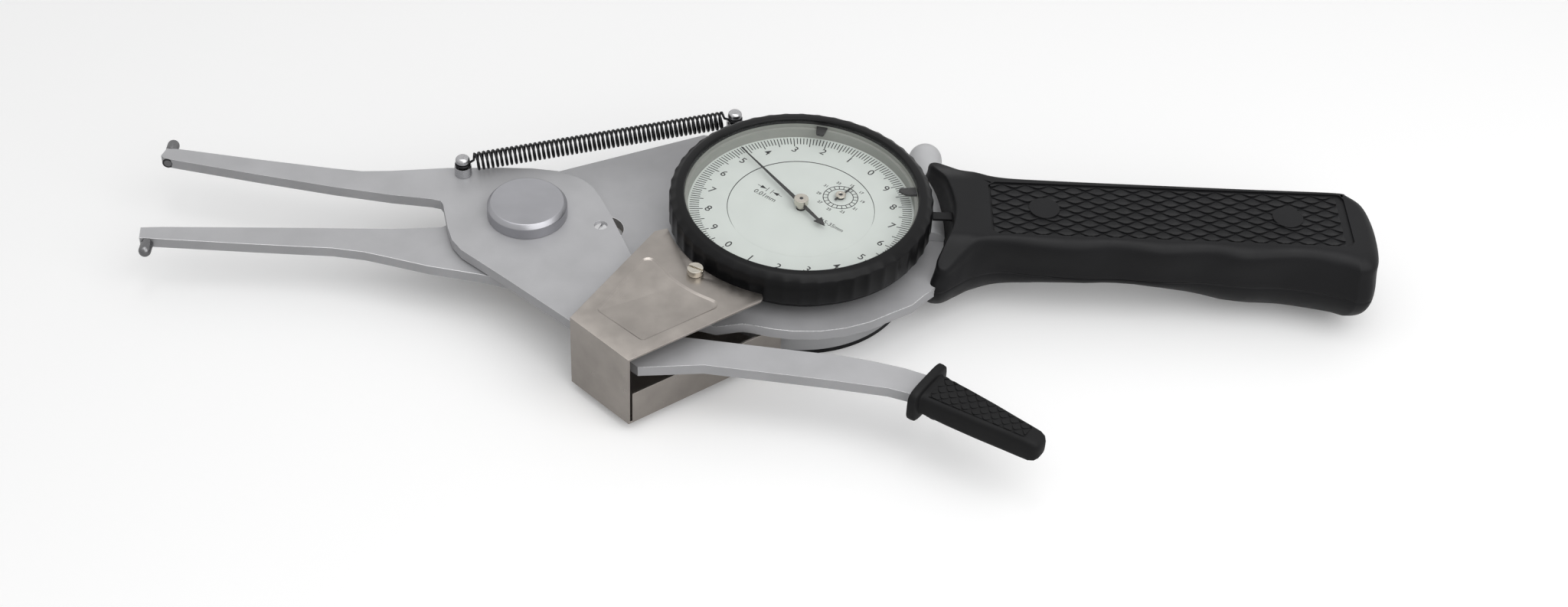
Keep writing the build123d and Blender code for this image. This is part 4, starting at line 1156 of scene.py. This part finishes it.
def upper_rings():
    """The upper shell's loops, from its seam up its side and over its rounded edge."""
    seam = outline_loop(SEAM_LINE)
    shoulder = outline_loop(SHOULDER_LINE)
    top = outline_loop(TOP_LINE)
    straight = HANDLE_TOP - HANDLE_SEAM - TOP_ROUND
    lowest = SEAM_STEPS[-1][0]

    def raised(a, b, share, level):
        x, y = between(a, b, share)
        return (x, y, HANDLE_SEAM + level * horn_height(x, y))

    rings = []
    for level, shrink in SEAM_STEPS:
        rings.append([(x, y - math.copysign(shrink, y), HANDLE_SEAM + level) for x, y in seam])
    for step in range(1, SIDE_STEPS + 1):
        share = step / SIDE_STEPS
        level = lowest + (straight - lowest) * share
        rings.append([raised(a, b, eased(share), level) for a, b in zip(seam, shoulder)])
    for step in range(1, ROUND_STEPS + 1):
        angle = math.radians(90.0 * step / ROUND_STEPS)
        level = straight + TOP_ROUND * math.sin(angle)
        rings.append([raised(a, b, 1 - math.cos(angle), level) for a, b in zip(shoulder, top)])
    return rings


def upper_moulding():
    """The upper shell, with the pocket for its patterned panel."""
    rings = upper_rings()
    count = len(rings[0])
    rim = [(x, y) for x, y, z in rings[-1]]
    x0, x1, y0, y1 = PANEL
    clear_x, clear_y = PANEL_CLEARANCE
    x0, x1, y0, y1 = x0 - clear_x, x1 + clear_x, y0 - clear_y, y1 + clear_y
    pocket = rounded_rectangle(x0, x1, y0, y1, PANEL_CORNER)
    wall = len(pocket)

    def over_pocket(x, y):
        near_corner = min((Vector(p) - Vector((x, y))).length for p in pocket) < 0.25
        return x0 < x < x1 and y0 < y < y1 and not near_corner

    mesh = skinned(rings, "handle_upper_moulding")
    with editing(mesh) as shape:
        corners = [shape.verts[(len(rings) - 1) * count + i] for i in range(count)]
        upper = [shape.verts.new((x * MM, y * MM, HANDLE_TOP * MM)) for x, y in pocket]
        floor_level = (HANDLE_TOP - PANEL_DEPTH) * MM
        lower = [shape.verts.new((x * MM, y * MM, floor_level)) for x, y in pocket]
        for i in range(wall):
            j = (i + 1) % wall
            shape.faces.new((upper[i], upper[j], lower[j], lower[i]))
        shape.faces.new(lower)
        corners += upper
        for x, y in flange_points(rim, PANEL[0] - 1.0):
            level = HANDLE_SEAM + (HANDLE_TOP - HANDLE_SEAM) * horn_height(x, y)
            corners.append(shape.verts.new(Vector((x, y, level)) * MM))
        borders = loop_edges(0, count) + loop_edges(count, wall)
        fill_between(shape, corners, borders, over_pocket)
    smooth(outward(mesh), 38.0)
    place(mesh, mesh.name, handle_plastic, "frame", ("handle_upper_shell",))


def underside_depth(x):
    for (a, deep_a), (b, deep_b) in zip(UNDERSIDE_DEPTHS, UNDERSIDE_DEPTHS[1:]):
        if x <= b:
            return deep_a + (deep_b - deep_a) * (x - a) / (b - a)
    return UNDERSIDE_DEPTHS[-1][1]


def lower_moulding():
    """The lower shell: rounded across, with an arch along its underside."""
    seam = outline_loop(SEAM_LINE)
    count = len(seam)
    rings = []
    for degrees, inset in UNDERSIDE_STEPS:
        keep = math.cos(math.radians(degrees))
        drop = math.sin(math.radians(degrees))
        ring = []
        for number, (x, y) in enumerate(seam):
            along = x
            if number < SEGMENT_SAMPLES["front"]:
                tucked = (1 - keep) * eased(abs(y) / FRONT_HALF_WIDTH)
                along = x + (HANDLE_FRONT_RADIUS - x) * tucked
            if x > HANDLE_END_ROUND_X:
                along = HANDLE_END_ROUND_X + (x - HANDLE_END_ROUND_X) * keep
            across = (y - math.copysign(inset, y)) * keep
            ring.append((along, across, HANDLE_SEAM - underside_depth(x) * drop))
        rings.append(ring)
    mesh = skinned(rings, "handle_lower_moulding")
    with editing(mesh) as shape:
        corners = shape.verts[(len(rings) - 1) * count:]
        rim = [shape.edges.get((corners[i], corners[j])) for i, j in loop_edges(0, count)]
        bmesh.ops.triangle_fill(shape, use_beauty=True, use_dissolve=False, edges=rim)
    smooth(outward(mesh), 38.0)
    return place(mesh, mesh.name, handle_plastic, "frame", ("handle_lower_shell",))


def scale_field(area, width, pitch, rise, base, side):
    """Overlapping scales: each is lowest at its far corner and highest at its near tip. side is 1
    for an upper face and -1 for an under one."""
    x0, x1, y0, y1 = area
    points = []
    faces = []
    half = width / 2 * SCALE_WIDTH_SHARE
    reach = pitch * SCALE_REACH_SHARE
    edge = [(half * u, reach * v, lift) for u, v, lift in SCALE_EDGE]
    layers = (
        (1.0, 0.0, 0.0, SCALE_ROOT), (1.0, 0.0, 1.0, rise * SCALE_ROOT),
        (SCALE_CROWN, SCALE_CROWN_SHIFT, 1.0, 0.0),
    )
    total = len(edge)
    one_scale = band(3, total) + [tuple(2 * total + i for i in range(total))]
    for row in range(-1, int((y1 - y0) / pitch) + 4):
        cy = y1 - row * pitch
        for column in range(-1, int((x1 - x0) / width) + 3):
            cx = x0 + (column + 0.5 * (row % 2)) * width
            start = len(points)
            for share, shift, tilt, sunk in layers:
                points += [
                    (cx + u * share, cy + v * share + shift,
                     base + side * (rise * lift * tilt - sunk))
                    for u, v, lift in edge
                ]
            faces += [tuple(start + i for i in face) for face in one_scale]
    mesh = build(points, faces, "scales")
    with editing(mesh) as shape:
        trim(shape, (x0, 0, 0), (-1, 0, 0))
        trim(shape, (x1, 0, 0), (1, 0, 0))
        trim(shape, (0, y0, 0), (0, -1, 0))
        trim(shape, (0, y1, 0), (0, 1, 0))
    return outward(mesh)


def screw_recesses(piece):
    """Round recesses under the handle, where its screws sit."""
    for x, seat in SCREW_RECESSES:
        bpy.ops.mesh.primitive_cylinder_add(
            vertices=64, radius=SCREW_RECESS_RADIUS * MM, depth=2 * seat * MM,
            location=(x * MM, 0.0, 0.0),
        )
        cut_out(piece, bpy.context.object)
    smooth(piece.data, 38.0)


def plug_caps():
    """Round plugs, just proud of the scales."""
    top = HANDLE_TOP + PLUG_RISE
    profile = [
        (0.02, top - 0.5), (PLUG_RADIUS, top - 0.5), (PLUG_RADIUS, top - 0.08),
        (PLUG_RADIUS - 0.1, top), (0.02, top + 0.02),
    ]
    plugs = [moved(lathe(profile, 64, "plug"), (x, PLUG_SHIFT, 0.0)) for x in PLUG_PLACES]
    whole = joined(plugs, "handle_plug_caps")
    smooth(whole)
    place(whole, "handle_plug_caps", handle_plastic, "frame", ("handle_plugs",))


upper_moulding()
screw_recesses(lower_moulding())
panel_field = (PANEL[0], PANEL[1] - PANEL_MARGIN, PANEL[2], PANEL[3])
panel_floor = HANDLE_TOP - PANEL_DEPTH
upper_scales = scale_field(panel_field, SCALE_WIDTH, SCALE_PITCH, PANEL_DEPTH, panel_floor, 1)
place(upper_scales, "handle_upper_scales", handle_plastic, "frame")
plug_caps()


# Rubber grip over the lever's tongue
def bar_section(half_width, half_depth):
    """A rounded rectangle across the grip."""
    loop = []
    for column in range(GRIP_COLUMNS):
        angle = 2 * math.pi * column / GRIP_COLUMNS
        c = math.cos(angle)
        s = math.sin(angle)
        u = math.copysign(abs(c) ** (2 / GRIP_POWER), c) * half_width
        v = math.copysign(abs(s) ** (2 / GRIP_POWER), s) * half_depth
        loop.append((u, v))
    return loop


def lever_grip():
    spot = (*GRIP_START, GRIP_MIDDLE)
    rings = [[(u, v, w) for v, w in bar_section(wide, deep)] for u, wide, deep in GRIP_STATIONS]
    mesh = outward(skinned(rings, "grip_moulding", capped=(0, len(rings) - 1)))
    moved(mesh, spot, GRIP_TURN)
    smooth(mesh, 45.0)
    place(mesh, "grip_moulding", grip_rubber, "moving_jaw", ("lever_grip",))
    for side, name in ((1, "grip_scales_upper"), (-1, "grip_scales_lower")):
        scales = scale_field(
            GRIP_SCALE_AREA, GRIP_SCALE_WIDTH, GRIP_SCALE_PITCH, GRIP_SCALE_RISE,
            side * GRIP_SCALE_BASE, side,
        )
        with editing(scales) as shape:
            for edge in (-1, 1):
                normal = Vector((GRIP_TAPER, edge, 0.0)).normalized()
                trim(shape, (0.0, edge * GRIP_SCALE_HALF, 0.0), normal)
        moved(scales, spot, GRIP_TURN)
        place(scales, name, grip_rubber, "moving_jaw")


lever_grip()


# Dark ring round the end of the moving contact's shank
def contact_ring():
    centre = middle("moving_contact")
    profile = [(1.22, 0.02), (1.22, -0.2), (0.86, -0.2), (0.86, 0.02)]
    spot = (centre.x, low("moving_contact").y, centre.z)
    mesh = moved(lathe(profile, 40, "contact_ring"), spot, 90.0, "X")
    smooth(mesh)
    place(mesh, "contact_ring", ink_and_painted_shade, "moving_jaw")


contact_ring()


# Floor and studio light
def looked_at(tree, path):
    """1 for what the camera sees, straight or through clear glass."""
    return calculated(tree, "MAXIMUM", path["Is Camera Ray"], path["Is Transmission Ray"])


def floor():
    corners = ((-1, -1), (1, -1), (1, 1), (-1, 1))
    outline = [(FLOOR_REACH * u, FLOOR_REACH * v, 0.0) for u, v in corners]
    mesh = build(outline, [(0, 1, 2, 3)], "floor")
    shader = Shader("floor_paper", [FLOOR_SEEN] * 3, 0.0, 0.9)
    path = shader.tree.nodes.new("ShaderNodeLightPath").outputs
    mirrored = calculated(shader.tree, "MULTIPLY", path["Is Glossy Ray"], FLOOR_MIRRORED)
    seen = calculated(shader.tree, "MAXIMUM", looked_at(shader.tree, path), mirrored)
    colour = mixed_colour(shader.tree, seen, [FLOOR_SCATTER] * 3, [FLOOR_SEEN] * 3)
    shader.link(colour, shader.main.inputs["Base Color"])
    shader.main.inputs["Emission Color"].default_value = (1.0, 1.0, 1.0, 1.0)
    glow = calculated(shader.tree, "MULTIPLY", seen, FLOOR_GLOW)
    shader.link(glow, shader.main.inputs["Emission Strength"])
    mesh.materials.append(shader.material)
    piece = shown("floor", mesh)
    piece.location.z = -FLOOR_DROP * MM


floor()


def studio_world():
    world = bpy.data.worlds.new("studio")
    bpy.context.scene.world = world
    world.use_nodes = True
    tree = world.node_tree
    tree.nodes.clear()
    direction = tree.nodes.new("ShaderNodeTexCoord").outputs["Generated"]
    parts = tree.nodes.new("ShaderNodeSeparateXYZ")
    tree.links.new(direction, parts.inputs[0])

    def graded(axis, span, first, last):
        return mapped(tree, parts.outputs[axis], *span, first, last, "SMOOTHSTEP")

    def light(strength):
        background = tree.nodes.new("ShaderNodeBackground")
        background.inputs["Color"].default_value = (1.0, 1.0, 1.0, 1.0)
        fed(tree, background.inputs["Strength"], strength)
        return background.outputs["Background"]

    path = tree.nodes.new("ShaderNodeLightPath").outputs
    overhead = graded("Z", TOP_SPAN, 0.0, TOP_LIGHT)
    mirrored = calculated(tree, "ADD", overhead, graded("Y", FRONT_SPAN, SIDE_LIGHT, FRONT_LIGHT))
    scattered = light(graded("Z", SKY_SPAN, SKY_LOW, SKY_HIGH))
    plain = mixed_shader(tree, looked_at(tree, path), scattered, light(1.0))
    whole = mixed_shader(tree, path["Is Glossy Ray"], plain, light(mirrored))
    output = tree.nodes.new("ShaderNodeOutputWorld")
    tree.links.new(whole, output.inputs["Surface"])


studio_world()


for lamp_name, (position, target, size, power) in LAMPS.items():
    lamp = bpy.data.lights.new(lamp_name, "AREA")
    lamp.shape = "RECTANGLE"
    lamp.size, lamp.size_y = size
    lamp.energy = power
    lamp_piece = shown(lamp_name, lamp)
    lamp_piece.location = position
    aim = Vector(target) - Vector(position)
    lamp_piece.rotation_euler = aim.to_track_quat("-Z", "Y").to_euler()


def camera():
    aim = Matrix.Rotation(VIEW_AZIMUTH, 4, "Z") @ Matrix.Rotation(VIEW_TILT, 4, "X")
    aim = aim @ Matrix.Rotation(VIEW_ROLL, 4, "Z")
    pixel = VIEW_DISTANCE / FOCAL_PIXELS
    across = (DIAL_PIXEL[0] - PHOTO_WIDTH / 2) * pixel
    below = (DIAL_PIXEL[1] - PHOTO_HEIGHT / 2) * pixel
    eye = Vector((0.0, 0.0, DIAL_TOP)) - aim @ Vector((across, -below, -VIEW_DISTANCE))
    data = bpy.data.cameras.new("view")
    data.sensor_width = SENSOR
    data.sensor_fit = "HORIZONTAL"
    data.lens = FOCAL_PIXELS / PHOTO_WIDTH * SENSOR
    data.clip_start = 0.01
    data.clip_end = 20.0
    piece = shown("view", data)
    piece.matrix_world = Matrix.Translation(eye * MM) @ aim
    bpy.context.scene.camera = piece


camera()
bpy.context.scene.view_settings.view_transform = "Standard"
